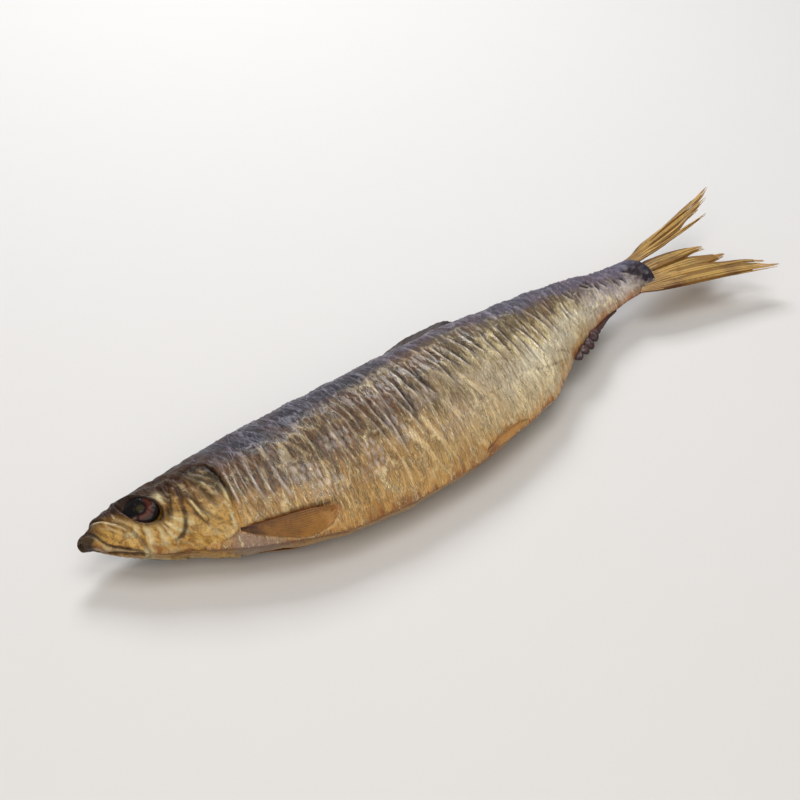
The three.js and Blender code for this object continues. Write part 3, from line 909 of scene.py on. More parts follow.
def skin_finish(choice):
    """Smoked skin: slate back, olive upper flank, golden belly, and the bony golden head."""
    f = Finish("smoked_herring_skin")
    flow = f.attribute("flow", "Vector")
    mask = {}
    for layer, names in MASK_LAYERS.items():
        parts = f.put("ShaderNodeSeparateXYZ")
        f.wire(f.attribute(layer, "Vector"), parts.inputs["Vector"])
        mask.update(zip(names, parts.outputs))
    reach, tone, head = mask["reach"], mask["tone"], mask["head"]
    groove_shade, crest_highlight = mask["groove_shade"], mask["crest_highlight"]

    drift = f.noise(flow, 0.09, 3.0, 0.6, 0.5)
    ragged = f.noise(f.scaled(flow, (1.0, 0.25, 1.0)), 0.45, 3.0, 0.6, 0.4)
    uneven = f.sum(tone, f.span(drift, 0.25, 0.75, -0.05, 0.05))
    uneven = f.sum(uneven, f.span(ragged, 0.3, 0.7, -0.045, 0.045))
    front = f.colours(
        uneven,
        (0.0, paint(160, 104, 52)), (0.09, choice.belly_colour), (0.2, paint(232, 190, 120)),
        (0.3, choice.flank_colour), (0.37, paint(116, 92, 52)), (0.44, paint(60, 51, 32)),
        (0.57, paint(44, 39, 32)), (0.63, paint(36, 33, 41)), (0.76, choice.back_colour),
        (1.0, paint(24, 22, 31)),
    )
    rear = f.colours(
        uneven,
        (0.0, paint(168, 98, 42)), (0.08, paint(218, 172, 104)), (0.18, paint(246, 226, 182)),
        (0.32, choice.silver_colour), (0.42, paint(224, 206, 156)), (0.49, paint(120, 106, 70)),
        (0.57, paint(76, 69, 56)), (0.62, paint(86, 80, 95)), (0.75, paint(66, 62, 78)),
        (1.0, paint(38, 36, 48)),
    )
    base = f.blend(f.span(reach, 0.42, 0.72), front, rear)
    stem = f.colours(
        uneven,
        (0.0, paint(150, 62, 34)), (0.1, paint(196, 146, 112)), (0.25, paint(220, 206, 198)),
        (0.42, paint(182, 174, 186)), (0.55, paint(112, 106, 126)), (1.0, paint(64, 60, 82)),
    )
    base = f.blend(f.span(reach, 0.8, 0.92, 0.0, 0.9), base, stem)

    # Painted highlights: pale threads lie across the flank, along the creases, where the wrinkles
    # catch the light.
    across = f.scaled(flow, (1.0, 0.22, 1.0))
    streak = f.noise(across, 0.5, 3.0, 0.6, 0.4)
    fine = f.noise(across, 1.1, 2.0, 0.5, 0.6)
    lit = f.times(f.group(thread_net(), flow=flow)["Threads"], f.span(streak, 0.42, 0.62, 0.1, 1.0))
    # The highlights' colour: cream on the flank, and lilac on the back as a painted reflection of a
    # cool light.
    on_back = f.span(tone, 0.54, 0.64)
    pale = f.blend(on_back, paint(250, 230, 182), paint(196, 190, 208))
    trunk = f.sum(f.sum(1.0, head, "SUBTRACT"), mask["pocket"], "SUBTRACT", True)
    # Brown dusk is strongest at the front and high up, and fades towards the tail and the belly.
    aft_and_low = f.sum(reach, f.times(tone, -0.6))
    fading = f.times(trunk, f.span(aft_and_low, 0.1, 0.5, 0.85, 0.12))
    dusk = f.times(f.span(fine, 0.4, 0.6, 0.0, 0.6), fading)
    base = f.blend(dusk, base, f.blend(on_back, paint(146, 98, 48), paint(28, 26, 38)))
    base = f.cover(
        base,
        (mask["rust"], 0.45, paint(128, 74, 28)),
        (mask["throat"], 0.75, paint(160, 136, 128)),
        (mask["scales"], 0.5, choice.scale_colour),
        # Painted highlights along the threads.
        (f.times(lit, trunk), f.span(tone, 0.32, 0.44, 0.66, 0.38), pale),
        # Painted highlights on the crests.
        (crest_highlight, f.span(tone, 0.32, 0.44, 0.66, 0.4), pale),
        # Painted highlights along the nape ridges and the folds' lips.
        (mask["silver"], 0.8, paint(244, 232, 222)),
        # Painted shade in the creases, brown on the flank and slate on the back.
        (groove_shade, 0.86, f.blend(on_back, paint(70, 40, 18), paint(22, 20, 30))),
        # Painted shade in the folds' floors.
        (mask["fold"], 0.95, paint(34, 26, 26)),
        # Painted highlight under the breast fin's lower edge.
        (mask["rim"], 0.6, paint(232, 196, 138)),
        (mask["pocket"], 0.85, paint(172, 104, 46)),
    )
    base = f.blend(f.sum(mask["root_spot"], 0.95, "MULTIPLY", True), base, paint(26, 28, 42))

    # The head has its own ground, olive cover, dark bone lines with painted shade in its grooves, and
    # pale edges with painted highlights.
    skull = f.colours(
        uneven,
        (0.0, paint(150, 98, 40)), (0.12, paint(204, 156, 72)), (0.28, choice.head_colour),
        (0.42, paint(158, 116, 48)), (0.52, paint(98, 68, 30)), (0.6, paint(46, 34, 24)),
        (1.0, paint(34, 31, 38)),
    )
    skull = f.cover(skull, (mask["olive"], 0.9, paint(70, 59, 20)))
    mottle = f.noise(flow, 0.42, 4.0, 0.65, 0.8)
    skull = f.blend(f.span(mottle, 0.46, 0.62, 0.0, 0.62), skull, paint(104, 64, 20))
    clouds = f.noise(flow, 0.2, 3.0, 0.6, 0.6)
    skull = f.blend(f.span(clouds, 0.5, 0.64, 0.0, 0.45), skull, paint(226, 202, 146))
    skull = f.blend(f.span(clouds, 0.46, 0.34, 0.0, 0.5), skull, paint(96, 70, 26))
    dark = f.blend(f.span(mottle, 0.35, 0.6), paint(18, 12, 12), paint(58, 32, 15))
    skull = f.cover(
        skull,
        (mask["dark_skull"], 0.93, dark),
        # Pale bone, with painted highlights on the jaws, the cheek and the dark arc.
        (mask["pale_bone_and_glints"], 0.75, paint(236, 222, 172)),
        # Dark bone lines, and painted shade in the head's grooves.
        (mask["bone_lines_and_shade"], 0.88, paint(36, 18, 8)),
    )
    colour = f.blend(head, base, skull)

    film = f.group(smoke_film(), place=flow, colour=colour, stain_colour=paint(120, 66, 26),
                   stain=0.22, wrinkle_size=1.0)
    sheen = f.noise(across, 0.3, 3.0, 0.6)
    bright = f.sum(f.times(lit, 0.12), f.times(crest_highlight, 0.12))
    metal = f.sum(f.span(sheen, 0.3, 0.7, 0.04, 0.22), bright, "ADD", True)
    metal = f.times(metal, f.span(tone, 0.46, 0.62, 1.0, 0.35))
    metal = f.times(metal, f.span(groove_shade, 0.0, 1.0, 1.0, 0.25))
    rough = f.sum(f.span(fine, 0.3, 0.7, 0.27, 0.42), film["Gloss change"])
    rough = f.sum(rough, f.span(tone, 0.46, 0.62, 0.0, 0.05))
    dry = f.sum(mask["root_spot"], 1.0, "MULTIPLY", True)
    rough = f.sum(rough, f.times(dry, 0.25))
    oil = f.times(f.span(tone, 0.46, 0.64, 0.38, 0.08), f.sum(1.0, dry, "SUBTRACT"))
    oil = f.times(oil, f.span(mask["dark_skull"], 0.0, 1.0, 1.0, 0.45))
    f.set(base_color=film["Colour"], metallic=metal, roughness=rough, coat_weight=oil,
          coat_roughness=0.14, specular_ior_level=0.27, coat_ior=1.4)
    relief = f.sum(f.times(film["Height"], 0.5), f.times(fine, 0.7))
    relief = f.sum(relief, f.times(f.times(lit, trunk), 0.9))
    f.set(normal=f.bump(relief, 0.0009, 1.0))
    return f.material


def eye_finish(choice):
    """A clouded, coppery iris round a small olive pupil, under a wet window, with a pale painted
    highlight low on its front.
    """
    f = Finish("cured_eye")
    ring = f.attribute("ring")
    side = f.attribute("side")
    place = f.in_millimetres()
    cloud = f.noise(place, 0.35, 4.0, 0.6, 0.6)
    edge = f.sum(ring, f.span(cloud, 0.25, 0.75, -0.05, 0.05))
    iris = f.colours(
        edge,
        (0.0, paint(58, 52, 24)), (0.17, paint(44, 36, 18)), (0.25, paint(12, 9, 8)),
        (0.36, paint(30, 14, 10)), (0.58, choice.iris_colour), (0.72, paint(54, 23, 14)),
        (0.82, paint(24, 13, 11)), (1.0, paint(10, 7, 7)),
    )
    dark = f.blend(f.span(side, -0.5, 0.2), iris, paint(12, 9, 10))
    colour = f.blend(f.span(ring, 0.22, 0.34), iris, dark)
    fibre = f.noise(f.scaled(place, (1.0, 1.0, 0.3)), 0.55, 3.0, 0.6, 1.0)
    colour = f.blend(f.span(fibre, 0.5, 0.75, 0.0, 0.3), colour, paint(44, 20, 14))
    # A painted highlight: a pale pink spot low on the iris's front.
    colour = f.blend(f.times(f.attribute("fleck_and_eye_highlight"), 0.3), colour, paint(196, 150, 132))
    f.set(base_color=colour, roughness=f.span(fibre, 0.3, 0.7, 0.18, 0.3),
          coat_weight=0.2, coat_roughness=0.04, specular_ior_level=0.14)
    f.set(normal=f.bump(f.sum(cloud, fibre), 0.0002, 0.4))
    return f.material


def fin_finish(name, root_colour, blade_colour, tip_colour):
    """Dried fin: amber web at the root, ochre rays with dark lines, pale frayed tips."""
    f = Finish(name)
    along, ray = f.attribute("along"), f.attribute("ray")
    place = f.in_millimetres()
    wander = f.noise(place, 0.16, 3.0, 0.6)
    share = f.sum(along, f.span(wander, 0.25, 0.75, -0.12, 0.12))
    colour = f.colours(share, (0.0, root_colour), (0.32, blade_colour), (0.75, blade_colour),
                       (1.0, tip_colour))
    web = f.span(ray, 0.0, 0.55)
    colour = f.blend(f.times(f.sum(1.0, web, "SUBTRACT"), 0.75), colour, paint(78, 40, 12))
    colour = f.blend(f.span(ray, 0.7, 1.0, 0.0, 0.45), colour, tip_colour)
    film = f.group(smoke_film(), place=place, colour=colour, stain_colour=paint(70, 36, 14),
                   stain=0.5, wrinkle_size=0.9)
    f.set(base_color=film["Colour"], roughness=f.sum(0.45, film["Gloss change"]),
          coat_weight=0.15, coat_roughness=0.25, specular_ior_level=0.35,
          subsurface_weight=0.15, subsurface_scale=0.002)
    f.set(normal=f.bump(film["Height"], 0.0004, 0.8))
    return f.material


def floor_finish(choice):
    """Plain pale studio floor."""
    f = Finish("studio_floor")
    grain = f.noise(f.object_place(), 40.0, 3.0, 0.5)
    colour = f.blend(f.span(grain, 0.2, 0.8, 0.0, 0.06), choice.floor_colour, paint(205, 202, 198))
    f.set(base_color=colour, roughness=0.7, specular_ior_level=0.2)
    return f.material


# ---------------------------------------------------------------------------------------------
# The body
# ---------------------------------------------------------------------------------------------

UNDER_SHARE = 0.42     # share of the rows that go to the hidden under side
NOSE_SHARE = 0.02      # share of the columns that round off the snout
NOSE_REACH = 0.008     # share of the length that the rounded snout takes
HEAD_CROWDING = 0.7    # how far the columns are crowded towards the head
TAIL_PINCH = 0.013     # share of the length over which the tail's root closes
UPPER_LIP_BACK = 3.0   # how far the upper jaw's tip stands behind the lower one's
JAW_REACH = 1.8        # how far the lower jaw's tip runs out
ROOT_BULGE = 5.0       # how far the scaly skin runs out over the middle of the tail's root
ROOT_CLOSING = 0.985   # how nearly the tail's root closes before it is filled


def build_body(sizes, choice):
    """The whole skin from snout to tail root, sculpted, with the masks its finish reads."""
    mesh, u, v = grid_mesh("herring_body", sizes.body_columns, sizes.body_rows)
    set_uv(mesh, u, v)
    under = v < UNDER_SHARE
    turn = np.where(under, v / UNDER_SHARE - 1, (v - UNDER_SHARE) / (1 - UNDER_SHARE))
    nose = np.clip(u / NOSE_SHARE, 0, 1)
    rest = np.clip((u - NOSE_SHARE) / (1 - NOSE_SHARE), 0, 1)
    rest = HEAD_CROWDING * rest + (1 - HEAD_CROWDING) * rest ** 2
    station = NOSE_REACH + (1 - NOSE_REACH) * rest
    points = skin_point(station, turn)
    normal = skin_normal(station, turn)
    x = station * BODY_LENGTH
    girth = girth_at(station, turn)

    grain, fine = Grain(11), Grain(23)
    head_height, head_masks = head_relief(x, girth, turn, grain)
    trunk_height, trunk_masks = flank_relief(x, girth, turn, grain, fine)
    head = head_masks["head"]
    height = head_height + trunk_height * (1 - head) * sizes.crease_depth
    ends = ramp(station, NOSE_REACH, 0.03) * ramp(station, 1.0, 0.97)
    points = points + normal * (height * (0.25 + 0.75 * ends))[:, None]
    points[:, 2] = np.maximum(points[:, 2], FLOOR_Z)

    # Round the snout off, and close the tail's root to an upright edge.
    angle = nose * math.pi / 2
    middle = skin_point(np.full(2, NOSE_REACH), np.array([0.5, -0.5])).mean(axis=0)
    rounding = np.where(nose < 1, np.sin(angle), 1.0)
    points[:, 1:] = middle[1:] + (points[:, 1:] - middle[1:]) * rounding[:, None]
    nose_x = SNOUT_X + NOSE_REACH * BODY_LENGTH * (1 - np.cos(angle))
    points[:, 0] = np.where(nose < 1, nose_x, points[:, 0])
    closing = ROOT_CLOSING * np.clip((station - 1 + TAIL_PINCH) / TAIL_PINCH, 0, 1)
    root_z = FLOOR_Z + (keel_height(1.0) + back_height(1.0)) / 2 * BODY_THICKNESS
    points[:, 2] = root_z + (points[:, 2] - root_z) * np.sqrt(1 - closing ** 2)
    level = np.abs(turn)
    points[:, 0] += UPPER_LIP_BACK * ramp(level, 0.5, 0.6) * ramp(x, 8, 0)
    points[:, 0] -= JAW_REACH * ramp(level, 0.56, 0.46) * ramp(level, 0.2, 0.4) * ramp(x, 7, 1)
    share = (1 - np.cos(np.pi * turn)) / 2
    points[:, 0] += ROOT_BULGE * np.sin(np.pi * share) ** 0.8 * ramp(station, 0.955, 1.0)
    set_points(mesh, points)

    other = np.where(turn < 0, 60.0, 0.0) * np.sin(np.pi * level)
    add_layers(mesh, "flow", x, girth, other)
    masks = {**trunk_masks, **head_masks, "reach": station, "tone": tone_of(station, level)}
    for name, parts in MASK_LAYERS.items():
        add_layers(mesh, name, *(masks[part] * np.ones_like(x) for part in parts))
    weld(mesh, fill=True)
    return finish_piece("herring_body", mesh, "body", skin_finish(choice))


# ---------------------------------------------------------------------------------------------
# The eyes
# ---------------------------------------------------------------------------------------------

EYE_PROFILE = (
    (0.0, 1.35), (0.1, 1.34), (0.19, 1.28), (0.26, 1.16), (0.31, 1.1), (0.37, 1.16),
    (0.48, 1.12), (0.62, 0.9), (0.76, 0.6), (0.88, 0.22), (0.97, -0.25), (1.03, -0.9),
    (1.02, -1.8), (0.9, -2.5), (0.5, -2.9), (0.0, -3.0),
)   # share of the eye's radius, and millimetres over the skin
EYE_STEPS = 72        # steps of the full turn that spins the profile
EYE_FLATNESS = 0.85   # how far the eye's middle keeps to its own disc, not the head's curve
RIM_FLATNESS = 0.6    # how much of that is left at its rim
EYE_SINK = {1: 0.5, -1: 1.0}   # millimetres that the upper and the under eye are sunk


def build_eye(name, node, side, sizes, finish):
    """A shallow dried eye: convex pupil, ringed iris, and a rim tucked under the skin."""
    radius = sizes.eye_radius
    bm = bmesh.new()
    ring = [bm.verts.new((share * radius * MM, 0, rise * MM)) for share, rise in EYE_PROFILE]
    for a, b in zip(ring, ring[1:]):
        bm.edges.new((a, b))
    bmesh.ops.spin(bm, geom=bm.verts[:] + bm.edges[:], cent=(0, 0, 0), axis=(0, 0, 1),
                   angle=2 * math.pi, steps=EYE_STEPS, use_merge=True)
    bmesh.ops.remove_doubles(bm, verts=bm.verts, dist=0.002 * MM)
    bmesh.ops.subdivide_edges(bm, edges=bm.edges[:], cuts=1, use_grid_fill=True, smooth=0.6)
    bmesh.ops.recalc_face_normals(bm, faces=bm.faces)
    mesh = mesh_from(bm, name)
    a, b, rise = (read_points(mesh) / MM).T
    share = np.hypot(a, b) / radius
    grain = Grain(31)
    wrinkle = 0.07 * grain(a / 1.5 + 7, b / 1.5, side * 3.0) * window(share, 0.1, 0.35, 0.8, 1.0)
    sag = -0.4 * soft(np.hypot(a - 2.4, b - 2.2), 2.4)
    rise = rise + (wrinkle + sag) * (rise > -0.5) - EYE_SINK[side]

    # A flat disc, bent part of the way to the head's curve so that its rim stays under the skin.
    turns = np.linspace(0.05, 0.95, 120)
    girths = girth_at(np.full(120, EYE_X / BODY_LENGTH), turns)
    centre = girth_at(EYE_X / BODY_LENGTH, EYE_TURN)
    station = (EYE_X + a) / BODY_LENGTH
    turn = np.interp(centre + b, girths, turns) * side
    curved = skin_point(station, turn) + skin_normal(station, turn) * rise[:, None]
    here = np.array([EYE_X / BODY_LENGTH]), np.array([EYE_TURN * side])
    seat, out = skin_point(*here)[0], skin_normal(*here)[0]
    along = np.array([1.0, 0.0, 0.0]) - out * out[0]
    along /= np.linalg.norm(along)
    up = np.cross(out, along)
    up *= np.sign(up[1]) if up[1] else 1
    flat_disc = seat + a[:, None] * along + b[:, None] * up + rise[:, None] * out
    firm = EYE_FLATNESS * (ramp(share, 1.0, 0.5) + RIM_FLATNESS * ramp(share, 0.5, 1.0))[:, None]
    points = curved * (1 - firm) + flat_disc * firm
    points[:, 2] = np.maximum(points[:, 2], FLOOR_Z)
    set_points(mesh, points)
    add_layer(mesh, "ring", share)
    length = np.maximum(np.hypot(a, b), 1e-6)
    add_layer(mesh, "side", (-0.75 * a + 0.66 * b) / length)
    # Where the painted highlight lies on the eye.
    add_layer(mesh, "fleck_and_eye_highlight", soft(np.hypot(a + 3.6, (b + 2.6) * 1.6), 0.9))
    bm = bmesh.new()
    bm.from_mesh(mesh)
    bmesh.ops.recalc_face_normals(bm, faces=bm.faces)
    bm.to_mesh(mesh)
    bm.free()
    return finish_piece(name, mesh, node, finish)


# ---------------------------------------------------------------------------------------------
# The fins
# ---------------------------------------------------------------------------------------------

def rounded(share, power=0.35):
    """0 at both ends of a share, 1 over the middle: how a thin blade thins to its rims."""
    share = np.round(share, 5)
    return np.clip(4 * share * (1 - share), 0, 1) ** power


def folded_sheets(name, count, columns, rows):
    """Thin closed blades, each a grid folded over its far rim.

    Returns the mesh, each vertex's share along and across its blade, its face (1 or -1) and the
    number of its blade.
    """
    bm = bmesh.new()
    bm.loops.layers.uv.new("skin_map")
    for _ in range(count):
        bmesh.ops.create_grid(bm, x_segments=columns, y_segments=2 * rows, size=1.0,
                              calc_uvs=True)
    mesh = mesh_from(bm, name)
    flat = read_points(mesh)
    along = (flat[:, 0] + 1) / 2
    across = 1 - np.abs(flat[:, 1])
    face = np.where(flat[:, 1] > 0, 1.0, -1.0)
    number = np.repeat(np.arange(count), len(flat) // count)
    set_uv(mesh, along, (flat[:, 1] + 1) / 2)
    return mesh, along, across, face, number


def finish_blade(name, mesh, points, node, finish, along, ray):
    """Closes a folded sheet, and gives it the layers the fin finish reads."""
    set_points(mesh, points)
    add_layer(mesh, "along", along)
    add_layer(mesh, "ray", ray)
    weld(mesh, 0.004)
    return finish_piece(name, mesh, node, finish)


def back_y(x):
    """Height of the back line at a row x, in millimetres."""
    return SNOUT_Y + back_line((x - SNOUT_X) / BODY_LENGTH) * BODY_DEPTH


def keel_y(x):
    """Height of the keel line at a row x, in millimetres."""
    return SNOUT_Y + keel_line((x - SNOUT_X) / BODY_LENGTH) * BODY_DEPTH


DORSAL_TIP = smooth_line((0, 0.06), (0.15, 0.3), (0.3, 0.56), (0.5, 0.92), (0.7, 1.24),
                         (0.85, 1.46), (1, 1.55))
DORSAL_RISE = smooth_line((0, 0.1), (0.15, 0.45), (0.3, 0.76), (0.5, 0.97), (0.7, 1.0),
                          (0.85, 0.8), (1, 0.5))
DORSAL_SPAN = 1.52     # the fin's length over its base, folded back
DORSAL_LEAD = 0.03     # where its front edge starts, as a share of the base
DORSAL_LIFT = 9.0      # millimetres that its highest edge stands past the back
ANAL_BEADS = 4.0       # dark stubs at the front of the fin behind the vent
ANAL_DROP = 5.4        # millimetres that the longest of them hangs below the keel


def build_dorsal_fin(sizes, finish):
    """The back fin, folded down along the back, with leaning rays and a dark front edge."""
    low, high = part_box("dorsal_fin")
    base = (high.x - low.x) / DORSAL_SPAN / MM
    start = low.x / MM - DORSAL_LEAD * base
    level = (low.z + high.z) / 2 / MM
    rays = sizes.dorsal_rays
    mesh, u, v, face, _ = folded_sheets("dorsal_fin_blade", 1, 180, 40)
    grain = Grain(41)
    tip_x = start + DORSAL_TIP(u) * base
    tip_y = back_y(tip_x) + DORSAL_RISE(u) * DORSAL_LIFT
    swing = np.cos(u * rays * 2 * np.pi)
    fray = 1 - 0.05 * np.abs(grain(u * rays * 0.5, 0.3)) - 0.012 * (swing < 0)
    foot_x = start + u * base
    foot_y = back_y(foot_x) - 2.2
    reach = v * fray
    x = foot_x + (tip_x - foot_x) * reach
    y = foot_y + (tip_y - foot_y) * reach
    y = y + 1.2 * reach * (1 - reach) * np.sin(np.pi * u)
    ridge = 0.5 + 0.5 * swing
    wave = 0.45 * grain(u * 5, v * 1.5, 2.0) * v
    half = 0.5 * (0.95 - 0.45 * v) * (0.85 + 0.2 * ridge) * rounded(v, 0.2) * rounded(u, 0.15)
    z = level + wave + face * half
    return finish_blade("dorsal_fin_blade", mesh, np.stack([x, y, z], -1), "dorsal_fin",
                        finish, v * 0.95, 0.5 + 0.5 * ridge)


def build_anal_fin(finish):
    """The low fin behind the vent: four dark stubs, then a thin strip to the tail."""
    low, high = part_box("anal_fin")
    level = (low.z + high.z) / 2 / MM
    mesh, u, v, face, _ = folded_sheets("anal_fin_blade", 1, 200, 24)
    grain = Grain(43)
    x = low.x / MM + u * (high.x - low.x) / MM
    bead_zone = ramp(u, 0.56, 0.5)
    bead = np.abs(np.sin(np.pi * u / 0.52 * ANAL_BEADS)) ** 0.6
    tall = smooth_line((0, 0.35), (0.1, 0.8), (0.3, 1.0), (0.52, 0.75), (0.7, 0.4), (1, 0.12))(u)
    drop = ANAL_DROP * tall * (bead_zone * (0.45 + 0.55 * bead) + (1 - bead_zone) * 0.9)
    drop = drop * (1 + 0.12 * grain(u * 18, 0.5))
    y = keel_y(x) + 1.6 - v * (1.6 + drop)
    swell = bead_zone * (0.8 + 2.2 * bead) + (1 - bead_zone) * 0.8
    half = 0.5 * swell * rounded(v, 0.3) * rounded(u, 0.2) * (1 + 0.15 * grain(x / 0.8, v * 3))
    z = level + face * half + 0.3 * grain(u * 6, v, 1.0)
    return finish_blade("anal_fin_blade", mesh, np.stack([x, y, z], -1), "anal_fin",
                        finish, v * 0.5, 0.35 + 0.65 * (1 - bead) * bead_zone)


def build_side_fin(name, node, side, low_line, high_line, rays, finish, seed):
    """A paired fin lying flat on the flank, its rays fanning from one root to a worn tip."""
    low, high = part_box(node)
    mesh, u, v, face, _ = folded_sheets(name, 1, 110, 60)
    grain = Grain(seed)
    wear = 1 - 0.05 * np.abs(grain(v * rays * 0.7, 0.7)) - 0.03 * (np.cos(v * rays * 2 * np.pi) < 0)
    along = u * (1 - (1 - wear) * u)
    x = low.x / MM + along * (high.x - low.x) / MM
    station = (x - SNOUT_X) / BODY_LENGTH
    tuck = UNDER_FIN_TUCK if side < 0 else 0.0
    turn = (low_line(along) + (high_line(along) - low_line(along)) * v + tuck) * side
    ridge = 0.5 + 0.5 * np.cos((v + 0.04 * np.sin(3 * u)) * rays * 2 * np.pi)
    thick = (0.85 - 0.4 * u) * rounded(v, 0.3) * rounded(u, 0.2)
    out = (0.35 if side > 0 else 0.0) + 0.2 * grain(u * 4, v * 2, 1.0) - 0.5 * ramp(u, 0.75, 1.0)
    half = 0.5 * thick * (0.7 + 0.45 * ridge)
    points = skin_point(station, turn)
    points = points + skin_normal(station, turn) * (out + face * half)[:, None]
    points[:, 2] = np.maximum(points[:, 2], FLOOR_Z)
    return finish_blade(name, mesh, points, node, finish, u,
                        (0.3 + 0.7 * ridge) * (1 - 0.75 * ramp(v, 0.55, 1.0)))


# ---------------------------------------------------------------------------------------------
# The tail
# ---------------------------------------------------------------------------------------------

RAY_GRID = (64, 7)         # columns along a ray and rows across it
UPPER_TIP_SHARE = 0.908    # how high the upper lobe's tip stands, in half spreads
FULL_THICKNESS = 40        # the body's thickness that the lobes' heights below are given for
UPPER_HEIGHTS = (18.1, 27.4)   # millimetres over the ground at the root and at the tip
LOWER_HEIGHTS = (16.6, 14.2)

# Each frond is a bundle of rays between two edges, given as shares of the lobe's length and of
# half the tail's spread, with its number of rays.
UPPER_FRONDS = (
    (((-0.05, 0.19), (0.3, 0.275), (0.56, 0.33), (0.8, 0.4)),
     ((-0.05, 0.27), (0.3, 0.35), (0.53, 0.4), (0.8, 0.415)), 3),
    (((-0.05, 0.25), (0.3, 0.33), (0.53, 0.41), (0.62, 0.47), (0.76, 0.53)),
     ((-0.05, 0.31), (0.3, 0.44), (0.55, 0.52), (0.68, 0.555), (0.77, 0.55)), 3),
    (((-0.05, 0.28), (0.3, 0.42), (0.5, 0.49), (0.72, 0.58), (0.9, 0.7)),
     ((-0.05, 0.34), (0.3, 0.5), (0.5, 0.6), (0.72, 0.7), (0.92, 0.73)), 4),
    (((-0.05, 0.3), (0.3, 0.48), (0.5, 0.585), (0.7, 0.68), (0.87, 0.76), (1.0, 0.9)),
     ((-0.05, 0.36), (0.07, 0.42), (0.22, 0.53), (0.41, 0.61), (0.68, 0.77), (1.0, 0.92)), 5),
)
LOWER_FRONDS = (
    (((-0.08, -0.07), (0.15, -0.07), (0.38, -0.07), (0.55, -0.03), (0.68, -0.04)),
     ((-0.08, 0.2), (0.1, 0.21), (0.3, 0.205), (0.5, 0.17), (0.66, 0.06)), 5),
    (((-0.1, -0.22), (0.2, -0.26), (0.45, -0.34), (0.6, -0.38), (0.75, -0.36)),
     ((-0.1, 0.0), (0.16, -0.02), (0.42, -0.04), (0.6, -0.16), (0.75, -0.28)), 5),
    (((-0.15, -0.38), (0.1, -0.45), (0.4, -0.56), (0.62, -0.63), (0.8, -0.7), (0.93, -0.85)),
     ((-0.1, -0.15), (0.2, -0.2), (0.45, -0.28), (0.62, -0.43), (0.82, -0.58), (0.96, -0.82)), 6),
    (((-0.17, -0.38), (0.0, -0.54), (0.2, -0.65), (0.44, -0.77), (0.65, -0.89), (1.0, -1.09)),
     ((-0.12, -0.3), (0.1, -0.39), (0.4, -0.49), (0.62, -0.58), (0.82, -0.72), (1.0, -1.04)), 6),
)


def edge_path(points):
    """A smooth path through points, from 0 at its first to 1 at its last."""
    knots = np.linspace(0, 1, len(points))
    return (smooth_line(*zip(knots, [p[0] for p in points])),
            smooth_line(*zip(knots, [p[1] for p in points])))


def build_tail_lobe(name, node, fronds, root_z, tip_z, finish, seed):
    """One half of the tail: split bundles of dried rays, joined by web near the root."""
    middle = SNOUT_Y + (back_line(1.0) + keel_line(1.0)) / 2 * BODY_DEPTH
    upper_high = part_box("caudal_fin_upper_lobe")[1]
    spread = (upper_high.y / MM - middle) / UPPER_TIP_SHARE
    start = BODY_HIGH.x / MM
    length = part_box(node)[1].x / MM - start
    bundles = []
    for index, (_, _, rays) in enumerate(fronds):
        bundles.append((index, 0.5, 1.02, 0.9, 0.6))        # the web under the bundle's rays
        for k in range(rays):
            bundles.append((index, (k + 0.5) / rays, 1.35 / rays, 1.0, 1.0))
    mesh, u, v, face, number = folded_sheets(name, len(bundles), *RAY_GRID)
    draw = np.random.default_rng(seed)
    grain = Grain(seed)
    points = np.empty((len(u), 3))
    ray = np.empty(len(u))
    for k, (index, place, breadth, reach, thick) in enumerate(bundles):
        here = number == k
        low_edge, high_edge, _ = fronds[index]
        low_x, low_y = edge_path(low_edge)
        high_x, high_y = edge_path(high_edge)
        reach = reach * (1 - draw.uniform(0, 0.06))
        lean = draw.uniform(-0.2, 0.2)
        t = u[here] * reach
        across = place + breadth * (v[here] - 0.5) * (1 - 0.4 * t ** 5)
        share_x = low_x(t) + (high_x(t) - low_x(t)) * across
        share_y = low_y(t) + (high_y(t) - low_y(t)) * across
        tilt = lean * t + 0.5 * grain(t * 2.5, index * 1.7) + 0.12 * grain(t * 4, k * 1.7)
        arch = 0.9 * np.sin(np.pi * np.clip(place, 0, 1)) - 0.5
        ease = np.clip(share_x, 0, 1)
        z = root_z + (tip_z - root_z) * ease ** 1.3 + (tilt + arch) * ramp(t, 0.0, 0.35)
        joints = 0.08 * np.sin(t * 150 + k) * ramp(t, 0.25, 0.5)
        fork = 0.5 + 0.5 * np.cos(v[here] * 2 * np.pi * 2)
        body = 1.5 * (1 - 0.68 * t) * rounded(v[here], 0.45) * rounded(u[here], 0.12)
        half = 0.5 * thick * body * (0.8 + joints - 0.3 * (1 - fork) * ramp(t, 0.3, 0.6))
        points[here] = np.stack([
            start + share_x * length,
            middle + share_y * spread,
            z - (0.12 if thick < 1 else 0.0) + face[here] * half,
        ], -1)
        middle_of_ray = 1 - np.abs(2 * v[here] - 1)
        ray[here] = 0.25 if thick < 1 else ramp(middle_of_ray, 0.0, 0.55)
    along = np.clip((points[:, 0] - start) / length, 0, 1)
    return finish_blade(name, mesh, points, node, finish, along, ray)


# ---------------------------------------------------------------------------------------------
# The add-on
# ---------------------------------------------------------------------------------------------

def colour_choice(name, text, colour):
    """A colour that a user can change."""
    return bpy.props.FloatVectorProperty(
        name=name, description=text, subtype="COLOR", size=4, min=0.0, max=1.0, default=colour)


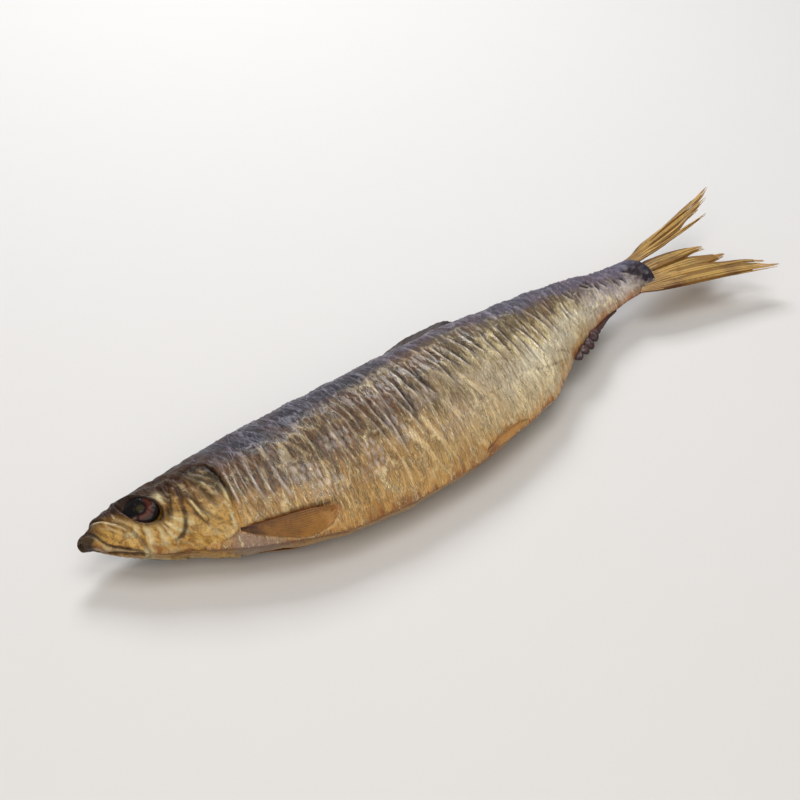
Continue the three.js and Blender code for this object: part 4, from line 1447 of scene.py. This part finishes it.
class HerringSizes(bpy.types.PropertyGroup):
    """Sizes and counts of the sculpted fish."""

    body_columns: bpy.props.IntProperty(
        name="Body columns", description="Mesh columns from snout to tail root", default=636)
    body_rows: bpy.props.IntProperty(
        name="Body rows", description="Mesh rows round the body", default=154)
    crease_depth: bpy.props.FloatProperty(
        name="Crease depth", description="Depth of the skin's creases, as a share", default=1.0,
        min=0.0, max=2.0, subtype="FACTOR")
    eye_radius: bpy.props.FloatProperty(
        name="Eye radius", description="Radius of each eye in millimetres", default=6.5)
    dorsal_rays: bpy.props.IntProperty(
        name="Back fin rays", description="Rays in the back fin", default=17)
    pectoral_rays: bpy.props.IntProperty(
        name="Breast fin rays", description="Rays in each breast fin", default=13)
    pelvic_rays: bpy.props.IntProperty(
        name="Belly fin rays", description="Rays in each belly fin", default=8)
    floor_width: bpy.props.FloatProperty(
        name="Floor width", description="Width of the studio floor", default=12.0, unit="LENGTH")


class HerringColours(bpy.types.PropertyGroup):
    """Colours of the smoked skin, eyes and fins."""

    back_colour: colour_choice("Back", "Slate of the back", paint(42, 39, 50))
    flank_colour: colour_choice("Flank", "Brown gold of the front flank", paint(206, 166, 102))
    silver_colour: colour_choice("Rear flank", "Cream silver of the rear flank", paint(250, 240, 210))
    belly_colour: colour_choice("Belly", "Orange gold of the belly", paint(218, 168, 96))
    scale_colour: colour_choice("Scales", "Pale lilac of the scale pockets", paint(224, 210, 208))
    head_colour: colour_choice("Head", "Gold of the cheek and jaw", paint(196, 154, 76))
    iris_colour: colour_choice("Iris", "Coppery brown of the iris", paint(80, 33, 18))
    fin_colour: colour_choice("Fins", "Amber of the side fins", paint(156, 106, 36))
    tail_colour: colour_choice("Tail", "Ochre of the tail's rays", paint(170, 126, 50))
    floor_colour: colour_choice("Floor", "Pale studio floor", paint(214, 212, 209))


class HERRING_OT_body(bpy.types.Operator):
    """Sculpt the skin from snout to tail root"""

    bl_idname = "herring.body"
    bl_label = "Body"

    def execute(self, context):
        build_body(context.scene.herring_sizes, context.scene.herring_colours)
        return {"FINISHED"}


class HERRING_OT_eyes(bpy.types.Operator):
    """Make both eyes"""

    bl_idname = "herring.eyes"
    bl_label = "Eyes"

    def execute(self, context):
        finish = eye_finish(context.scene.herring_colours)
        sizes = context.scene.herring_sizes
        for hand, side in (("left", 1), ("right", -1)):
            build_eye(f"{hand}_eyeball", f"{hand}_eye", side, sizes, finish)
        return {"FINISHED"}


class HERRING_OT_middle_fins(bpy.types.Operator):
    """Make the back fin and the fin behind the vent"""

    bl_idname = "herring.middle_fins"
    bl_label = "Back and vent fins"

    def execute(self, context):
        sizes = context.scene.herring_sizes
        dorsal = fin_finish("dried_back_fin", paint(58, 32, 15), paint(40, 22, 12),
                            paint(14, 8, 7))
        vent = fin_finish("dried_vent_fin", paint(84, 34, 22), paint(46, 24, 30),
                          paint(40, 20, 24))
        build_dorsal_fin(sizes, dorsal)
        build_anal_fin(vent)
        return {"FINISHED"}


class HERRING_OT_side_fins(bpy.types.Operator):
    """Make the breast fins and the belly fins"""

    bl_idname = "herring.side_fins"
    bl_label = "Side fins"

    def execute(self, context):
        sizes, choice = context.scene.herring_sizes, context.scene.herring_colours
        shown = fin_finish("amber_side_fin", paint(52, 22, 8), choice.fin_colour,
                           paint(190, 138, 74))
        # The fins on the under side get a duller, darker copy of the amber finish: painted shade.
        under = fin_finish("shaded_under_side_fin", paint(74, 46, 26), paint(138, 98, 56),
                           paint(168, 126, 80))
        belly = fin_finish("golden_belly_fin", paint(150, 92, 44), paint(200, 146, 78),
                           paint(216, 172, 106))
        for hand, side, finish in (("left", 1, shown), ("right", -1, under)):
            build_side_fin(f"{hand}_pectoral_blade", f"{hand}_pectoral_fin", side,
                           PECTORAL_LOW, PECTORAL_HIGH, sizes.pectoral_rays, finish, 51)
            build_side_fin(f"{hand}_pelvic_blade", f"{hand}_pelvic_fin", side,
                           PELVIC_LOW, PELVIC_HIGH, sizes.pelvic_rays, belly, 53)
        return {"FINISHED"}


class HERRING_OT_tail(bpy.types.Operator):
    """Make both lobes of the forked tail"""

    bl_idname = "herring.tail"
    bl_label = "Tail"

    def execute(self, context):
        choice = context.scene.herring_colours
        finish = fin_finish("ochre_tail_rays", paint(112, 66, 14), choice.tail_colour,
                            paint(214, 178, 112))
        root = BODY_THICKNESS / FULL_THICKNESS
        for part, fronds, heights, seed in (("upper", UPPER_FRONDS, UPPER_HEIGHTS, 61),
                                            ("lower", LOWER_FRONDS, LOWER_HEIGHTS, 67)):
            build_tail_lobe(f"{part}_tail_lobe", f"caudal_fin_{part}_lobe", fronds,
                            heights[0] * root, heights[1] * root, finish, seed)
        return {"FINISHED"}


CAMERA_AZIMUTH = -35.2     # degrees round the fish
CAMERA_ELEVATION = 38.61
CAMERA_ROLL = -0.67
CAMERA_DISTANCE = 0.680    # metres
CAMERA_LENS = 69.2
AIM_SHARE = (0.442, 0.777)   # what the camera looks at, as shares of the fish's length and height
FLOOR_GAP = 0.0002           # metres between the fish and the floor
SKY_STRENGTH = 0.3

# Name, place from the fish's middle in metres, width in metres, watts and colour.
LIGHTS = (
    ("window_light", (0.25, 0.75, 0.75), 0.4, 8.2, (0.93, 0.955, 1.0)),
    ("warm_fill", (-0.7, -0.7, 0.8), 1.1, 8.0, (1.0, 0.93, 0.84)),
    ("top_light", (0.1, -0.1, 1.2), 0.7, 4.8, (1.0, 0.98, 0.96)),
)


def area_light(name, place, aim, size, power, colour):
    """A soft square light that looks at a point."""
    light = bpy.data.lights.new(name, "AREA")
    light.shape = "SQUARE"
    light.size = size
    light.energy = power
    light.color = colour
    lamp = bpy.data.objects.new(name, light)
    lamp.location = place
    lamp.rotation_mode = "QUATERNION"
    lamp.rotation_quaternion = (Vector(aim) - Vector(place)).to_track_quat("-Z", "Y")
    bpy.context.scene.collection.objects.link(lamp)


class HERRING_OT_stage(bpy.types.Operator):
    """Lay the floor and set the lights and the camera"""

    bl_idname = "herring.stage"
    bl_label = "Studio"

    def execute(self, context):
        scene = context.scene
        choice, sizes = scene.herring_colours, scene.herring_sizes
        bm = bmesh.new()
        bmesh.ops.create_grid(bm, x_segments=8, y_segments=8, size=sizes.floor_width / 2)
        mesh = mesh_from(bm, "studio_floor")
        mesh.materials.append(floor_finish(choice))
        floor = bpy.data.objects.new("studio_floor", mesh)
        floor.location.z = CAD_BOX[0].z - FLOOR_GAP
        scene.collection.objects.link(floor)

        low, high = CAD_BOX
        aim = Vector((
            low.x + (high.x - low.x) * AIM_SHARE[0],
            low.y + (high.y - low.y) * AIM_SHARE[1],
            low.z,
        ))
        turn, rise = math.radians(CAMERA_AZIMUTH), math.radians(CAMERA_ELEVATION)
        roll = math.radians(CAMERA_ROLL)
        right = Vector((math.cos(turn), math.sin(turn), 0))
        back = Vector((math.sin(turn) * math.cos(rise), -math.cos(turn) * math.cos(rise),
                       math.sin(rise)))
        up = back.cross(right)
        rolled = right * math.cos(roll) + up * math.sin(roll)
        upright = up * math.cos(roll) - right * math.sin(roll)
        camera = bpy.data.objects.new("camera", bpy.data.cameras.new("camera"))
        camera.data.lens = CAMERA_LENS
        camera.data.clip_start = 0.01
        camera.matrix_world = Matrix.Translation(aim + back * CAMERA_DISTANCE) @ Matrix(
            (rolled, upright, back)).transposed().to_4x4()
        scene.collection.objects.link(camera)
        scene.camera = camera

        middle = (low + high) / 2
        for name, place, size, power, colour in LIGHTS:
            area_light(name, middle + Vector(place), middle, size, power, colour)
        world = bpy.data.worlds.new("studio")
        world.use_nodes = True
        sky = world.node_tree.nodes["Background"]
        sky.inputs["Color"].default_value = paint(236, 238, 242)
        sky.inputs["Strength"].default_value = SKY_STRENGTH
        scene.world = world
        scene.view_settings.view_transform = "Standard"
        return {"FINISHED"}


class HERRING_PT_panel(bpy.types.Panel):
    """Lists the steps that build the fish"""

    bl_idname = "HERRING_PT_panel"
    bl_label = "Smoked herring"
    bl_space_type = "VIEW_3D"
    bl_region_type = "UI"
    bl_category = "Herring"

    def draw(self, context):
        for group in (context.scene.herring_sizes, context.scene.herring_colours):
            box = self.layout.box()
            for name in group.__annotations__:
                box.prop(group, name)
        for step in STEPS:
            self.layout.operator(step.bl_idname)


STEPS = (HERRING_OT_body, HERRING_OT_eyes, HERRING_OT_middle_fins, HERRING_OT_side_fins,
         HERRING_OT_tail, HERRING_OT_stage)
CLASSES = (HerringSizes, HerringColours, *STEPS, HERRING_PT_panel)


def register():
    for entry in CLASSES:
        bpy.utils.register_class(entry)
    bpy.types.Scene.herring_sizes = bpy.props.PointerProperty(type=HerringSizes)
    bpy.types.Scene.herring_colours = bpy.props.PointerProperty(type=HerringColours)


def unregister():
    del bpy.types.Scene.herring_sizes
    del bpy.types.Scene.herring_colours
    for entry in reversed(CLASSES):
        bpy.utils.unregister_class(entry)


def main():
    register()
    bpy.ops.herring.body()
    bpy.ops.herring.eyes()
    bpy.ops.herring.middle_fins()
    bpy.ops.herring.side_fins()
    bpy.ops.herring.tail()
    bpy.ops.herring.stage()


if __name__ == "__main__":
    main()
